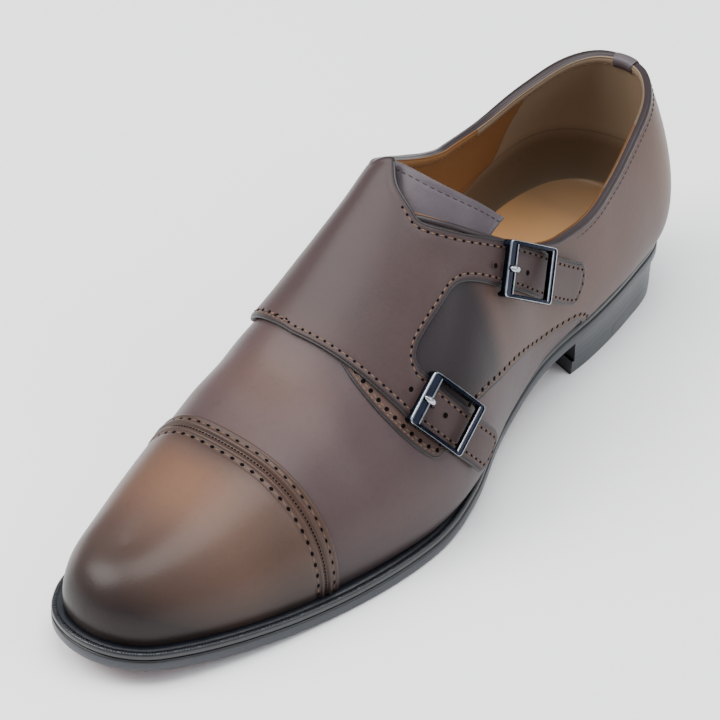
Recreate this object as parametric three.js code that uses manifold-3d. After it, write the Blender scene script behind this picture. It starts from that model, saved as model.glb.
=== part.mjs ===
// Double monk strap dress shoe, left foot, standing empty on its own sole.
//
// Frame: millimetres, +Z up, the ground at z = 0, the toe towards -Y, the heel
// towards +Y and the outer (lateral) side of the foot towards +X.
//
// Every curved piece comes from one last.  A point of the last is named by a
// station (a distance from the back of the heel towards the toe), a side
// (+1 outer, -1 inner), a rise (0 at the feather line where the upper meets
// the welt, 1 on the ridge over the foot) and a depth below the outer face of
// the leather, which is negative for a piece that stands proud of it.

import * as THREE from 'three';
import { mergeVertices } from 'three/addons/utils/BufferGeometryUtils.js';
import Module from 'manifold-3d';

const wasm = await Module();
wasm.setup();

// ---------------------------------------------------------------- main sizes
const SOLE_THICKNESS = 5.0;
const WELT_THICKNESS = 2.6;
const WALL = 2.2;
const GAP = 0.3;
const OVERLAY_GAP = 0.6;
const CAP_THICKNESS = 1.1;
const STRAP_THICKNESS = 1.4;
const TONGUE_THICKNESS = 1.6;
const TONGUE_GAP = 1.1;
const FLAP_GAP = 0.8;
const INSOLE_RISE = 2.0;
const TOP_LIFT_HEIGHT = 6.0;
const HEEL_BREAST = 77.0;
const HEEL_BREAST_HOLLOW = 5.0;
const HEEL_INSET = 1.0;
const THROAT = 139.0;
const CAP_LINE = 236.0;
const TOE_FAN_START = 225.0;
const TOE_RIDGE_END = 274.0;
const HEEL_LEAN = 16.0;
const HEEL_LEAN_END = 75.0;
const SEAM_BLEND = 3.0;

// Edge of the outsole, walked from the heel back along the outer side to the
// toe and home along the inner side: along = from the heel back, across = outwards.
const SOLE_EDGE = [
  { along: 0, across: 0.5 }, { along: 4, across: 14.5 }, { along: 16, across: 26 },
  { along: 38, across: 31 }, { along: 65, across: 33.5 }, { along: 98, across: 33 },
  { along: 130, across: 39 }, { along: 158, across: 49 }, { along: 180, across: 53 },
  { along: 205, across: 51.5 }, { along: 235, across: 44.8 }, { along: 262, across: 36 },
  { along: 282, across: 27 }, { along: 295, across: 18.5 }, { along: 302, across: 7.5 },
  { along: 303.5, across: -6 }, { along: 299, across: -18.5 }, { along: 288, across: -27.5 },
  { along: 268, across: -34 }, { along: 242, across: -40.5 }, { along: 217, across: -44.5 },
  { along: 195, across: -43.5 }, { along: 170, across: -36 }, { along: 145, across: -26.5 },
  { along: 118, across: -23 }, { along: 92, across: -25.5 }, { along: 62, across: -31 },
  { along: 36, across: -32.3 }, { along: 15, across: -27 }, { along: 4, across: -16.3 },
];

// Underside of the outsole: heel seat, arch, flat ball zone and toe spring.
const SOLE_RISE = [
  { along: 0, height: 19.0 }, { along: 40, height: 18.0 }, { along: 75, height: 16.0 },
  { along: 100, height: 12.8 }, { along: 120, height: 8.8 }, { along: 140, height: 5.3 },
  { along: 160, height: 2.4 }, { along: 176, height: 0.5 }, { along: 186, height: 0.0 },
  { along: 222, height: 0.0 }, { along: 240, height: 0.7 }, { along: 260, height: 2.4 },
  { along: 280, height: 4.7 }, { along: 304, height: 8.4 },
];

// Feather line: how far the upper stands in from the sole edge.
const FEATHER_INSET = [
  { along: 0, inset: 2.0 }, { along: 60, inset: 2.0 }, { along: 90, inset: 1.0 },
  { along: 130, inset: 0.8 }, { along: 160, inset: 2.2 }, { along: 185, inset: 4.0 },
  { along: 210, inset: 5.0 }, { along: 304, inset: 6.0 },
];

// Sections of the last.  top: ridge height, ridge: ridge offset outwards,
// lean and round: the two exponents of the section on each side, and belly:
// how far the side swells past the feather line.
const LAST = [
  { along: 0, top: 110, ridge: -2, leanOut: 1.3, leanIn: 1.3,
    roundOut: 0.95, roundIn: 0.95, bellyOut: 5.4, bellyIn: 5.4 },
  { along: 6, top: 111.4, ridge: -1.8, leanOut: 1.4, leanIn: 1.4,
    roundOut: 0.95, roundIn: 0.95, bellyOut: 5.6, bellyIn: 5.6 },
  { along: 12, top: 112.6, ridge: -1.6, leanOut: 1.5, leanIn: 1.5,
    roundOut: 0.95, roundIn: 0.95, bellyOut: 5.8, bellyIn: 5.8 },
  { along: 40, top: 117, ridge: -1, leanOut: 1.6, leanIn: 1.55,
    roundOut: 0.95, roundIn: 0.95, bellyOut: 6.2, bellyIn: 6 },
  { along: 80, top: 121, ridge: -1, leanOut: 0.85, leanIn: 0.85,
    roundOut: 0.95, roundIn: 0.95, bellyOut: 5.4, bellyIn: 5.1 },
  { along: 120, top: 119, ridge: -4.5, leanOut: 0.8, leanIn: 0.76,
    roundOut: 0.92, roundIn: 0.95, bellyOut: 5.5, bellyIn: 7 },
  { along: 150, top: 100, ridge: -6.5, leanOut: 0.85, leanIn: 0.8,
    roundOut: 0.9, roundIn: 0.95, bellyOut: 5, bellyIn: 7 },
  { along: 175, top: 80.5, ridge: -6, leanOut: 0.85, leanIn: 0.8,
    roundOut: 0.9, roundIn: 0.92, bellyOut: 3.7, bellyIn: 4.5 },
  { along: 200, top: 63.5, ridge: -6, leanOut: 0.82, leanIn: 0.78,
    roundOut: 0.88, roundIn: 0.88, bellyOut: 2.5, bellyIn: 2 },
  { along: 225, top: 52.5, ridge: -6, leanOut: 0.78, leanIn: 0.76,
    roundOut: 0.85, roundIn: 0.85, bellyOut: 1.5, bellyIn: 1 },
  { along: 250, top: 45, ridge: -5, leanOut: 0.74, leanIn: 0.74,
    roundOut: 0.82, roundIn: 0.82, bellyOut: 1, bellyIn: 0.8 },
  { along: 266, top: 40.2, ridge: -3.4, leanOut: 0.715, leanIn: 0.715,
    roundOut: 0.808, roundIn: 0.808, bellyOut: 0.9, bellyIn: 0.8 },
  { along: 276, top: 37, ridge: -2.5, leanOut: 0.7, leanIn: 0.7,
    roundOut: 0.8, roundIn: 0.8, bellyOut: 0.8, bellyIn: 0.8 },
];

// Height of the topline on each side, up to the throat, where it meets the ridge.
const TOPLINE = [
  { along: 0, outer: 88, inner: 88 },
  { along: 6, outer: 87.4, inner: 87.4 },
  { along: 12, outer: 86.2, inner: 86.2 },
  { along: 30, outer: 81.5, inner: 79.5 },
  { along: 55, outer: 74.8, inner: 74.8 },
  { along: 80, outer: 70.5, inner: 78 },
  { along: 92, outer: 71, inner: 82.5 },
  { along: 105, outer: 75, inner: 89 },
  { along: 122, outer: 86, inner: 98.5 },
];

// The flap that crosses the instep, a row at a time from the inner side to
// the fork.  back and front are stations, over is the girth from the ridge.
const FLAP = [
  { back: 141.5, backOver: -48, front: 180, frontOver: -46 },
  { back: 141.5, backOver: -36, front: 183, frontOver: -35 },
  { back: 141.5, backOver: -24, front: 186, frontOver: -23 },
  { back: 141.5, backOver: -12, front: 188.5, frontOver: -12 },
  { back: 141.5, backOver: 0, front: 190, frontOver: 0 },
  { back: 143.0, backOver: 10, front: 190, frontOver: 10 },
  { back: 144.0, backOver: 20, front: 189.5, frontOver: 20 },
  { back: 141.0, backOver: 30, front: 188, frontOver: 30 },
  { back: 134.5, backOver: 40, front: 185.5, frontOver: 41 },
];
const FORK = { upperEnd: 149, lowerStart: 173.8, over: 41 };
const FLAP_COLUMNS = 10;
const FORK_COLUMNS = { upper: 3, lower: 7 };

// Centre lines of the two straps beyond the fork.
const UPPER_STRAP = [
  { along: 131, over: 53 }, { along: 124, over: 60 }, { along: 115.5, over: 67 },
  { along: 106, over: 74 }, { along: 96, over: 80 }, { along: 87.5, over: 84.5 },
];
const LOWER_STRAP = [
  { along: 179.2, over: 50 }, { along: 176.5, over: 58 }, { along: 173, over: 67 },
  { along: 168.5, over: 77 }, { along: 163, over: 88 }, { along: 158, over: 98 },
];
const STRAP_HALF_WIDTH = 7.5;

// Buckles: a rectangular frame, wider at the bar that takes the prong.
const BUCKLE = {
  length: 25, width: 19.7, thickness: 2.0, prongBar: 4.4, endBar: 2.8, sideBar: 1.8,
  clearance: 0.8, leg: 1.0, corner: 1.6,
};
const UPPER_BUCKLE = { along: 117.5, over: 65.5, towards: { along: 106, over: 74 } };
const LOWER_BUCKLE = { along: 174.0, over: 64.0, towards: { along: 170.4, over: 72.5 } };
const PRONG = { length: 12.5, width: 1.8, thickness: 1.0 };

// ------------------------------------------------------------ small functions
// Smooth curve through a table's rows that never overshoots between them.
function table(rows, key) {
  const x = rows.map((row) => row.along);
  const y = rows.map((row) => row[key]);
  const last = x.length - 1;
  const slope = [];
  for (let k = 0; k < last; k += 1) {
    slope.push((y[k + 1] - y[k]) / (x[k + 1] - x[k]));
  }
  const tangent = [slope[0]];
  for (let k = 1; k < last; k += 1) {
    const before = x[k] - x[k - 1];
    const after = x[k + 1] - x[k];
    const a = 2 * after + before;
    const b = after + 2 * before;
    const same = slope[k - 1] * slope[k] > 0;
    tangent.push(same ? (a + b) / (a / slope[k - 1] + b / slope[k]) : 0);
  }
  tangent.push(slope[last - 1]);
  return (value) => {
    const s = Math.min(Math.max(value, x[0]), x[last]);
    let k = 0;
    while (k < last - 1 && s > x[k + 1]) {
      k += 1;
    }
    const h = x[k + 1] - x[k];
    const t = (s - x[k]) / h;
    return y[k] * (1 + 2 * t) * (1 - t) ** 2 + tangent[k] * h * t * (1 - t) ** 2
      + y[k + 1] * t * t * (3 - 2 * t) + tangent[k + 1] * h * t * t * (t - 1);
  };
}

const soleRise = table(SOLE_RISE, 'height');
const featherInset = table(FEATHER_INSET, 'inset');
const lastColumn = {};
for (const key of Object.keys(LAST[0])) {
  lastColumn[key] = table(LAST, key);
}

// A closed outline as points, and the same outline moved inwards.
function soleOutline() {
  const control = SOLE_EDGE.map((row) => new THREE.Vector3(row.along, row.across, 0));
  const curve = new THREE.CatmullRomCurve3(control, true, 'centripetal');
  return curve.getPoints(SOLE_EDGE.length * 14).slice(0, -1);
}

function movedInwards(points, inset) {
  const count = points.length;
  return points.map((point, k) => {
    const before = points[(k + count - 1) % count];
    const after = points[(k + 1) % count];
    const direction = after.clone().sub(before).normalize();
    const distance = inset(point.x);
    return new THREE.Vector3(point.x + direction.y * distance, point.y - direction.x * distance, 0);
  });
}

// Splits an outline into its outer and inner side and gives across(along, side).
function sides(points) {
  let back = 0;
  let toe = 0;
  points.forEach((point, k) => {
    back = point.x < points[back].x ? k : back;
    toe = point.x > points[toe].x ? k : toe;
  });
  const count = points.length;
  const walk = (from, to, step) => {
    const run = [points[from]];
    for (let k = from; k !== to;) {
      k = (k + step + count) % count;
      run.push(points[k]);
    }
    return run;
  };
  const runs = { outer: walk(back, toe, 1), inner: walk(back, toe, -1) };
  const across = (along, side) => {
    const run = side > 0 ? runs.outer : runs.inner;
    let k = 0;
    while (k < run.length - 2 && along > run[k + 1].x) {
      k += 1;
    }
    const span = Math.max(run[k + 1].x - run[k].x, 1e-6);
    const t = Math.min(Math.max((along - run[k].x) / span, 0), 1);
    return run[k].y + (run[k + 1].y - run[k].y) * t;
  };
  return { start: points[back].x, end: points[toe].x, across };
}

const soleEdge = soleOutline();
const length = sides(soleEdge).end - sides(soleEdge).start;
const edgeCache = new Map();

// The sole's own outline at an inset, and the feather line at a depth.
function soleAt(inset) {
  const key = `sole ${inset}`;
  if (!edgeCache.has(key)) {
    edgeCache.set(key, sides(movedInwards(soleEdge, () => inset)));
  }
  return edgeCache.get(key);
}

function featherAt(depth) {
  const key = `feather ${depth}`;
  if (!edgeCache.has(key)) {
    edgeCache.set(key, sides(movedInwards(soleEdge, (along) => featherInset(along) + depth)));
  }
  return edgeCache.get(key);
}

function place(along, across, height) {
  return new THREE.Vector3(across, length / 2 - along, height);
}

// ------------------------------------------------------------------- the last
const featherHeight = (along) => soleRise(along) + SOLE_THICKNESS + WELT_THICKNESS + GAP;

// The ridge closes before the toe does, so that the sections fan out there.
function ridgeStation(along, edge, depth) {
  if (along <= TOE_FAN_START) {
    return along;
  }
  const ridgeEnd = TOE_RIDGE_END - depth;
  const t = Math.min((along - TOE_FAN_START) / (edge.end - TOE_FAN_START), 1);
  const pace = (edge.end - TOE_FAN_START) / (ridgeEnd - TOE_FAN_START);
  return TOE_FAN_START + (ridgeEnd - TOE_FAN_START) * (pace * t + (1 - pace) * t * t);
}

function lastPoint(along, side, rise, depth) {
  const edge = featherAt(depth);
  const foot = edge.across(along, side);
  const ridgeAlong = ridgeStation(along, edge, depth);
  const low = featherHeight(along);
  const high = lastColumn.top(ridgeAlong) - depth;
  const which = side > 0 ? 'Out' : 'In';
  const angle = rise * Math.PI / 2;
  const inward = 1 - Math.max(Math.cos(angle), 0) ** lastColumn[`lean${which}`](ridgeAlong);
  const upward = Math.max(Math.sin(angle), 0) ** lastColumn[`round${which}`](ridgeAlong);
  const before = Math.max(along - 1, edge.start);
  const after = Math.min(along + 1, edge.end);
  const ends = Math.min(along - edge.start, edge.end - along, SEAM_BLEND) / SEAM_BLEND;
  const run = edge.across(after, side) - edge.across(before, side);
  const ahead = (after - before) * ends;
  const stride = Math.hypot(run, ahead);
  const belly = lastColumn[`belly${which}`](along) * Math.sin(Math.PI * upward ** 0.55) / stride;
  const lean = HEEL_LEAN * Math.max(1 - along / HEEL_LEAN_END, 0) ** 2 * rise * rise;
  return place(
    along + (ridgeAlong - along) * inward - side * run * belly + lean,
    foot + (lastColumn.ridge(ridgeAlong) - foot) * inward + side * ahead * belly,
    low + (high - low) * upward,
  );
}

// Rise at which a section reaches the topline; 1 past the throat.
const throatRow = { along: THROAT, outer: lastColumn.top(THROAT), inner: lastColumn.top(THROAT) };
const topline = {
  outer: table([...TOPLINE, throatRow], 'outer'),
  inner: table([...TOPLINE, throatRow], 'inner'),
};

function toplineRise(along, side, depth) {
  if (along >= THROAT) {
    return 1;
  }
  const height = (side > 0 ? topline.outer : topline.inner)(along) - depth;
  const low = featherHeight(along);
  const high = lastColumn.top(along) - depth;
  const share = Math.min(Math.max((height - low) / (high - low), 0), 1);
  const round = lastColumn[side > 0 ? 'roundOut' : 'roundIn'](along);
  return Math.asin(share ** (1 / round)) * 2 / Math.PI;
}

// Rise of the point that lies a given girth down from the ridge.
function riseAtGirth(along, side, girth) {
  const steps = 48;
  let before = lastPoint(along, side, 1, 0);
  let walked = 0;
  for (let k = steps - 1; k >= 0; k -= 1) {
    const here = lastPoint(along, side, k / steps, 0);
    const stride = here.distanceTo(before);
    if (walked + stride >= girth) {
      return (k + 1 - (girth - walked) / stride) / steps;
    }
    walked += stride;
    before = here;
  }
  return 0;
}

// A point of the flat pattern: station and signed girth from the ridge.
function patternPoint(along, over, depth) {
  const side = over >= 0 ? 1 : -1;
  return lastPoint(along, side, riseAtGirth(along, side, Math.abs(over)), depth);
}

// ------------------------------------------------------------- closed shells
// Cells of a grid, each a loop of four grid points seen from outside.
function gridCells(rows, columns, at, flip) {
  const cells = [];
  for (let i = 0; i < rows; i += 1) {
    for (let j = 0; j < columns; j += 1) {
      const loop = [at(i, j), at(i + 1, j), at(i + 1, j + 1), at(i, j + 1)];
      cells.push(flip ? loop.reverse() : loop);
    }
  }
  return cells;
}

// Closes an outer and an inner skin over the same cells with a wall at every
// free edge, so that the result is one solid.
function thicken(cells, outer, inner) {
  const corners = [];
  const known = new Map();
  const corner = (point) => {
    const where = outer(point);
    const key = [where.x, where.y, where.z].map((value) => Math.round(value * 500)).join(' ');
    if (!known.has(key)) {
      known.set(key, corners.length);
      corners.push({ outer: where, inner: inner(point) });
    }
    return known.get(key);
  };
  const faces = [];
  for (const loop of cells) {
    const [a, b, c, d] = loop.map(corner);
    for (const face of [[a, b, c], [a, c, d]]) {
      if (new Set(face).size === 3) {
        faces.push(face);
      }
    }
  }
  const edges = new Set();
  for (const [a, b, c] of faces) {
    edges.add(`${a} ${b}`).add(`${b} ${c}`).add(`${c} ${a}`);
  }
  const count = corners.length;
  const index = [];
  for (const [a, b, c] of faces) {
    index.push(a, b, c, a + count, c + count, b + count);
    for (const [p, q] of [[a, b], [b, c], [c, a]]) {
      if (!edges.has(`${q} ${p}`)) {
        index.push(q, p, p + count, q, p + count, q + count);
      }
    }
  }
  const position = [];
  for (const skin of ['outer', 'inner']) {
    for (const pair of corners) {
      position.push(...pair[skin].toArray());
    }
  }
  const geometry = new THREE.BufferGeometry();
  geometry.setAttribute('position', new THREE.Float32BufferAttribute(position, 3));
  geometry.setIndex(index);
  return geometry;
}

// Stations of the shell in three runs: open collar, vamp and toe.
const RUNS = { collar: 18, vamp: 12, toe: 9 };
const SHELL_ROWS = RUNS.collar + RUNS.vamp + RUNS.toe;
const SHELL_COLUMNS = 12;

function shellStation(row, depth) {
  const edge = featherAt(depth);
  if (row <= RUNS.collar) {
    return edge.start + (THROAT - edge.start) * (0.5 - 0.5 * Math.cos(Math.PI * row / RUNS.collar));
  }
  if (row <= RUNS.collar + RUNS.vamp) {
    return THROAT + (CAP_LINE - THROAT) * (row - RUNS.collar) / RUNS.vamp;
  }
  const t = (row - RUNS.collar - RUNS.vamp) / RUNS.toe;
  return CAP_LINE + (edge.end - CAP_LINE) * Math.sin(Math.PI / 2 * t);
}

function shellPoint({ row, side, share }, depth) {
  const along = shellStation(row, depth);
  return lastPoint(along, side, share * toplineRise(along, side, depth), depth);
}

function shell(firstRow, lastRow, outerDepth, innerDepth) {
  const cells = [];
  for (const side of [1, -1]) {
    const at = (i, j) => ({ row: firstRow + i, side, share: j / SHELL_COLUMNS });
    cells.push(...gridCells(lastRow - firstRow, SHELL_COLUMNS, at, side > 0));
  }
  return thicken(cells, (point) => shellPoint(point, outerDepth), (point) => shellPoint(point, innerDepth));
}

// Plates follow an outline: from is the back edge, to the front edge, each a
// station for a share across the sole, and every skin has its own edge and height.
function plate(rows, columns, skins, from, to) {
  const at = (i, j) => ({ t: 0.5 - 0.5 * Math.cos(Math.PI * i / rows), share: j / columns });
  const skin = ({ edge, height }) => ({ t, share }) => {
    const start = from ? from(share) : edge.start;
    const end = to ? to(share) : edge.end;
    const along = Math.min(Math.max(start + (end - start) * t, edge.start), edge.end);
    const inner = edge.across(along, -1);
    const outer = edge.across(along, 1);
    return place(along, inner + (outer - inner) * share, height(along));
  };
  return thicken(gridCells(rows, columns, at, false), skin(skins.top), skin(skins.bottom));
}

// ---------------------------------------------------------------- sole pieces
const SOLE_ROWS = 34;
const HEEL_ROWS = 12;

function outsole() {
  return plate(SOLE_ROWS, 5, {
    top: { edge: soleAt(0), height: (along) => soleRise(along) + SOLE_THICKNESS - GAP },
    bottom: { edge: soleAt(0), height: soleRise },
  });
}

function welt() {
  const rim = soleAt(0.4);
  const hole = featherAt(WALL + 0.1);
  const cells = [];
  for (const side of [1, -1]) {
    const at = (i, j) => ({ t: 0.5 - 0.5 * Math.cos(Math.PI * i / SOLE_ROWS), side, edge: j ? rim : hole });
    cells.push(...gridCells(SOLE_ROWS, 1, at, side < 0));
  }
  const level = (height) => ({ t, side, edge }) => {
    const along = edge.start + (edge.end - edge.start) * t;
    return place(along, edge.across(along, side), soleRise(along) + height);
  };
  return thicken(cells, level(SOLE_THICKNESS + WELT_THICKNESS), level(SOLE_THICKNESS));
}

function insole() {
  const edge = featherAt(WALL + 0.6);
  return plate(SOLE_ROWS, 5, {
    top: { edge, height: (along) => featherHeight(along) + INSOLE_RISE },
    bottom: { edge, height: (along) => soleRise(along) + SOLE_THICKNESS },
  });
}

// The heel breast is hollow, and the rubber rear of the top lift is bowed.
const breast = (share) => HEEL_BREAST - HEEL_BREAST_HOLLOW * (1 - (2 * share - 1) ** 2);
const rubberFront = (share) => 50 - 22 * (1 - Math.abs(2 * share - 1) ** 1.6);

function heelStack() {
  return plate(HEEL_ROWS, 8, {
    top: { edge: soleAt(HEEL_INSET), height: (along) => soleRise(along) - GAP },
    bottom: { edge: soleAt(HEEL_INSET + 0.9), height: () => TOP_LIFT_HEIGHT + GAP },
  }, null, breast);
}

function topLift(from, to) {
  return plate(HEEL_ROWS, 8, {
    top: { edge: soleAt(HEEL_INSET + 0.9), height: () => TOP_LIFT_HEIGHT },
    bottom: { edge: soleAt(HEEL_INSET + 1.3), height: () => 0 },
  }, from, to);
}

// --------------------------------------------------------------- upper pieces
function tongue() {
  const rows = 8;
  const columns = 6;
  const back = (rise) => THROAT - 5.5 - 19 * (1 - rise);
  const front = 188;
  const at = (side) => (i, j) => ({ t: i / rows, side, rise: (SHELL_COLUMNS - columns + j) / SHELL_COLUMNS });
  const cells = [
    ...gridCells(rows, columns, at(1), true),
    ...gridCells(rows, columns, at(-1), false),
  ];
  const skin = (depth) => ({ t, side, rise }) => {
    const along = back(rise) + (front - back(rise)) * t;
    return lastPoint(along, side, rise, depth);
  };
  const top = WALL + TONGUE_GAP;
  return thicken(cells, skin(top), skin(top + TONGUE_THICKNESS));
}

// At a pattern point: the unit direction of a strap that heads towards a
// second point, the unit direction square to it, and the pattern step of the latter.
function strapFrame(here, next, depth) {
  const chord = (da, dg) => patternPoint(here.along + da, here.over + dg, depth)
    .sub(patternPoint(here.along - da, here.over - dg, depth)).divideScalar(2);
  const eastward = chord(1, 0);
  const downward = chord(0, 1);
  const forward = eastward.clone().multiplyScalar(next.along - here.along)
    .addScaledVector(downward, next.over - here.over).normalize();
  const step = { along: downward.dot(forward), over: -eastward.dot(forward) };
  const sideways = eastward.clone().multiplyScalar(step.along).addScaledVector(downward, step.over);
  const scale = 1 / sideways.length();
  sideways.multiplyScalar(scale);
  return { forward, sideways, step: { along: step.along * scale, over: step.over * scale } };
}

// One row across a strap, square to its centre line.
function strapRow(centres, k) {
  const before = centres[Math.max(k - 1, 0)];
  const after = centres[Math.min(k + 1, centres.length - 1)];
  const here = centres[k];
  const next = { along: here.along + after.along - before.along, over: here.over + after.over - before.over };
  const { step } = strapFrame(here, next, 0);
  const toe = Math.sign(step.along) * STRAP_HALF_WIDTH;
  return {
    back: here.along - toe * step.along,
    backOver: here.over - toe * step.over,
    front: here.along + toe * step.along,
    frontOver: here.over + toe * step.over,
  };
}

// Extra rows halfway between the rows of a table.
function halved(rows) {
  const dense = [rows[0]];
  for (let k = 1; k < rows.length; k += 1) {
    const between = {};
    for (const key of Object.keys(rows[k])) {
      between[key] = (rows[k - 1][key] + rows[k][key]) / 2;
    }
    dense.push(between, rows[k]);
  }
  return dense;
}

function acrossRow(row, columns) {
  const points = [];
  for (let j = 0; j <= columns; j += 1) {
    const t = j / columns;
    points.push({
      along: row.back + (row.front - row.back) * t,
      over: row.backOver + (row.frontOver - row.backOver) * t,
    });
  }
  return points;
}

function strapFlap() {
  const { upper, lower } = FORK_COLUMNS;
  const rows = halved(FLAP).map((row) => acrossRow(row, FLAP_COLUMNS));
  const fork = FLAP[FLAP.length - 1];
  const upperRoot = { ...fork, front: FORK.upperEnd, frontOver: FORK.over };
  const lowerRoot = { ...fork, back: FORK.lowerStart, backOver: FORK.over };
  const middle = { back: FORK.upperEnd, backOver: FORK.over, front: FORK.lowerStart, frontOver: FORK.over };
  const forkRow = [
    ...acrossRow(upperRoot, upper).slice(0, -1),
    ...acrossRow(middle, lower - upper).slice(0, -1),
    ...acrossRow(lowerRoot, FLAP_COLUMNS - lower),
  ];
  rows[rows.length - 1] = forkRow;
  const upperRows = [forkRow.slice(0, upper + 1)];
  const lowerRows = [forkRow.slice(lower)];
  for (let k = 0; k < UPPER_STRAP.length; k += 1) {
    upperRows.push(acrossRow(strapRow(UPPER_STRAP, k), upper));
    lowerRows.push(acrossRow(strapRow(LOWER_STRAP, k), FLAP_COLUMNS - lower));
  }
  const cells = [];
  for (const sheet of [rows, upperRows, lowerRows]) {
    const at = (i, j) => sheet[i][j];
    cells.push(...gridCells(sheet.length - 1, sheet[0].length - 1, at, true));
  }
  const skin = (depth) => ({ along, over }) => patternPoint(along, over, depth);
  return thicken(cells, skin(-FLAP_GAP - STRAP_THICKNESS), skin(-FLAP_GAP));
}

// ------------------------------------------------------------------- hardware
function solidFrom(geometry) {
  const plain = geometry.clone();
  plain.deleteAttribute('normal');
  plain.deleteAttribute('uv');
  const merged = mergeVertices(plain, 1e-4);
  return new wasm.Manifold(new wasm.Mesh({
    numProp: 3,
    vertProperties: new Float32Array(merged.attributes.position.array),
    triVerts: new Uint32Array(merged.index.array),
  }));
}

function geometryFrom(solid) {
  const mesh = solid.getMesh();
  const geometry = new THREE.BufferGeometry();
  geometry.setAttribute('position', new THREE.BufferAttribute(mesh.vertProperties, 3));
  geometry.setIndex(new THREE.BufferAttribute(mesh.triVerts, 1));
  return geometry;
}

function roundedRectangle(shape, left, right, low, high, radius) {
  shape.moveTo(left + radius, low);
  shape.lineTo(right - radius, low);
  shape.absarc(right - radius, low + radius, radius, -Math.PI / 2, 0, false);
  shape.lineTo(right, high - radius);
  shape.absarc(right - radius, high - radius, radius, 0, Math.PI / 2, false);
  shape.lineTo(left + radius, high);
  shape.absarc(left + radius, high - radius, radius, Math.PI / 2, Math.PI, false);
  shape.lineTo(left, low + radius);
  shape.absarc(left + radius, low + radius, radius, Math.PI, Math.PI * 1.5, false);
  return shape;
}

// The frame in its own axes: x along the strap towards its end, z away from
// the foot, z = 0 on the strap.  Its end bars bridge the strap and its side
// bars reach down beside it.
function buckleFrame() {
  const { length: long, width, thickness, prongBar, endBar, sideBar, clearance, leg, corner } = BUCKLE;
  const outline = roundedRectangle(
    new THREE.Shape(), -long / 2, long / 2, -width / 2, width / 2, corner,
  );
  outline.holes.push(roundedRectangle(
    new THREE.Path(),
    -long / 2 + prongBar, long / 2 - endBar, -width / 2 + sideBar, width / 2 - sideBar, 0.6,
  ));
  const ring = new THREE.ExtrudeGeometry(outline, {
    depth: leg + clearance + thickness - 0.8,
    bevelEnabled: true,
    bevelThickness: 0.4,
    bevelSize: 0.4,
    bevelOffset: -0.4,
    bevelSegments: 1,
    curveSegments: 2,
  });
  ring.translate(0, 0, 0.4 - leg);
  const channel = new THREE.BoxGeometry(long + 4, 2 * STRAP_HALF_WIDTH + 1, leg + clearance + 1);
  channel.translate(0, 0, (clearance - leg - 1) / 2);
  return geometryFrom(solidFrom(ring).subtract(solidFrom(channel)));
}

function prong() {
  const { clearance, thickness, length: long, prongBar } = BUCKLE;
  const top = clearance + thickness + GAP;
  const reach = long / 2 - prongBar * 0.45;
  const side = new THREE.Shape();
  side.moveTo(PRONG.length - reach, GAP);
  side.lineTo(PRONG.length - reach, GAP + PRONG.thickness);
  side.lineTo(-reach + 5.5, top + PRONG.thickness);
  side.lineTo(-reach + 0.5, top + PRONG.thickness);
  side.lineTo(-reach, top);
  side.lineTo(-reach + 5.2, top);
  const bar = new THREE.ExtrudeGeometry(side, { depth: PRONG.width, bevelEnabled: false });
  bar.rotateX(Math.PI / 2);
  bar.translate(0, PRONG.width / 2, 0);
  return bar;
}

// Position and rotation of a buckle, tangent to the strap under it.
function buckleSeat({ along, over, towards }) {
  const depth = -FLAP_GAP - STRAP_THICKNESS;
  const { forward, sideways } = strapFrame({ along, over }, towards, depth);
  const outward = forward.clone().cross(sideways).normalize();
  if (outward.x < 0) {
    sideways.negate();
    outward.negate();
  }
  const matrix = new THREE.Matrix4().makeBasis(forward, sideways, outward);
  const quaternion = new THREE.Quaternion().setFromRotationMatrix(matrix);
  return { position: patternPoint(along, over, depth), quaternion };
}

// ------------------------------------------------------------------- assembly
const shoe = new THREE.Group();

function add(name, geometry, colour, roughness, metalness, seat) {
  const material = new THREE.MeshStandardMaterial({ color: colour, roughness, metalness });
  const mesh = new THREE.Mesh(geometry, material);
  mesh.name = name;
  if (seat) {
    mesh.position.copy(seat.position);
    mesh.quaternion.copy(seat.quaternion);
  }
  shoe.add(mesh);
}

add('outsole', outsole(), 0x4a1420, 0.35, 0.0);
add('welt', welt(), 0x16181f, 0.4, 0.0);
add('heel_stack', heelStack(), 0x17181c, 0.45, 0.0);
add('top_lift_front', topLift((share) => rubberFront(share) + GAP, breast), 0x4a1420, 0.4, 0.0);
add('top_lift_rear', topLift(null, rubberFront), 0x101113, 0.7, 0.0);
add('insole', insole(), 0x9b6a35, 0.6, 0.0);
add('upper', shell(0, SHELL_ROWS, 0, WALL), 0x6e5b54, 0.45, 0.0);
add('toe_cap', shell(
  RUNS.collar + RUNS.vamp, SHELL_ROWS, -OVERLAY_GAP - CAP_THICKNESS, -OVERLAY_GAP,
), 0x6f5647, 0.4, 0.0);
add('tongue', tongue(), 0x6a5852, 0.5, 0.0);
add('strap_flap', strapFlap(), 0x6e5b54, 0.45, 0.0);
for (const [name, seat] of [['upper', UPPER_BUCKLE], ['lower', LOWER_BUCKLE]]) {
  add(`buckle_${name}`, buckleFrame(), 0x2b2d31, 0.25, 1.0, buckleSeat(seat));
  add(`prong_${name}`, prong(), 0xb9bcc0, 0.25, 1.0, buckleSeat(seat));
}

const box = new THREE.Box3().setFromObject(shoe);
const middle = box.getCenter(new THREE.Vector3());
shoe.position.set(-middle.x, -middle.y, -box.min.z);

export default shoe;
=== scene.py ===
import functools
import math

import bmesh
import bpy
import numpy as np
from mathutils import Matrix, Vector
from mathutils.geometry import delaunay_2d_cdt


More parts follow.
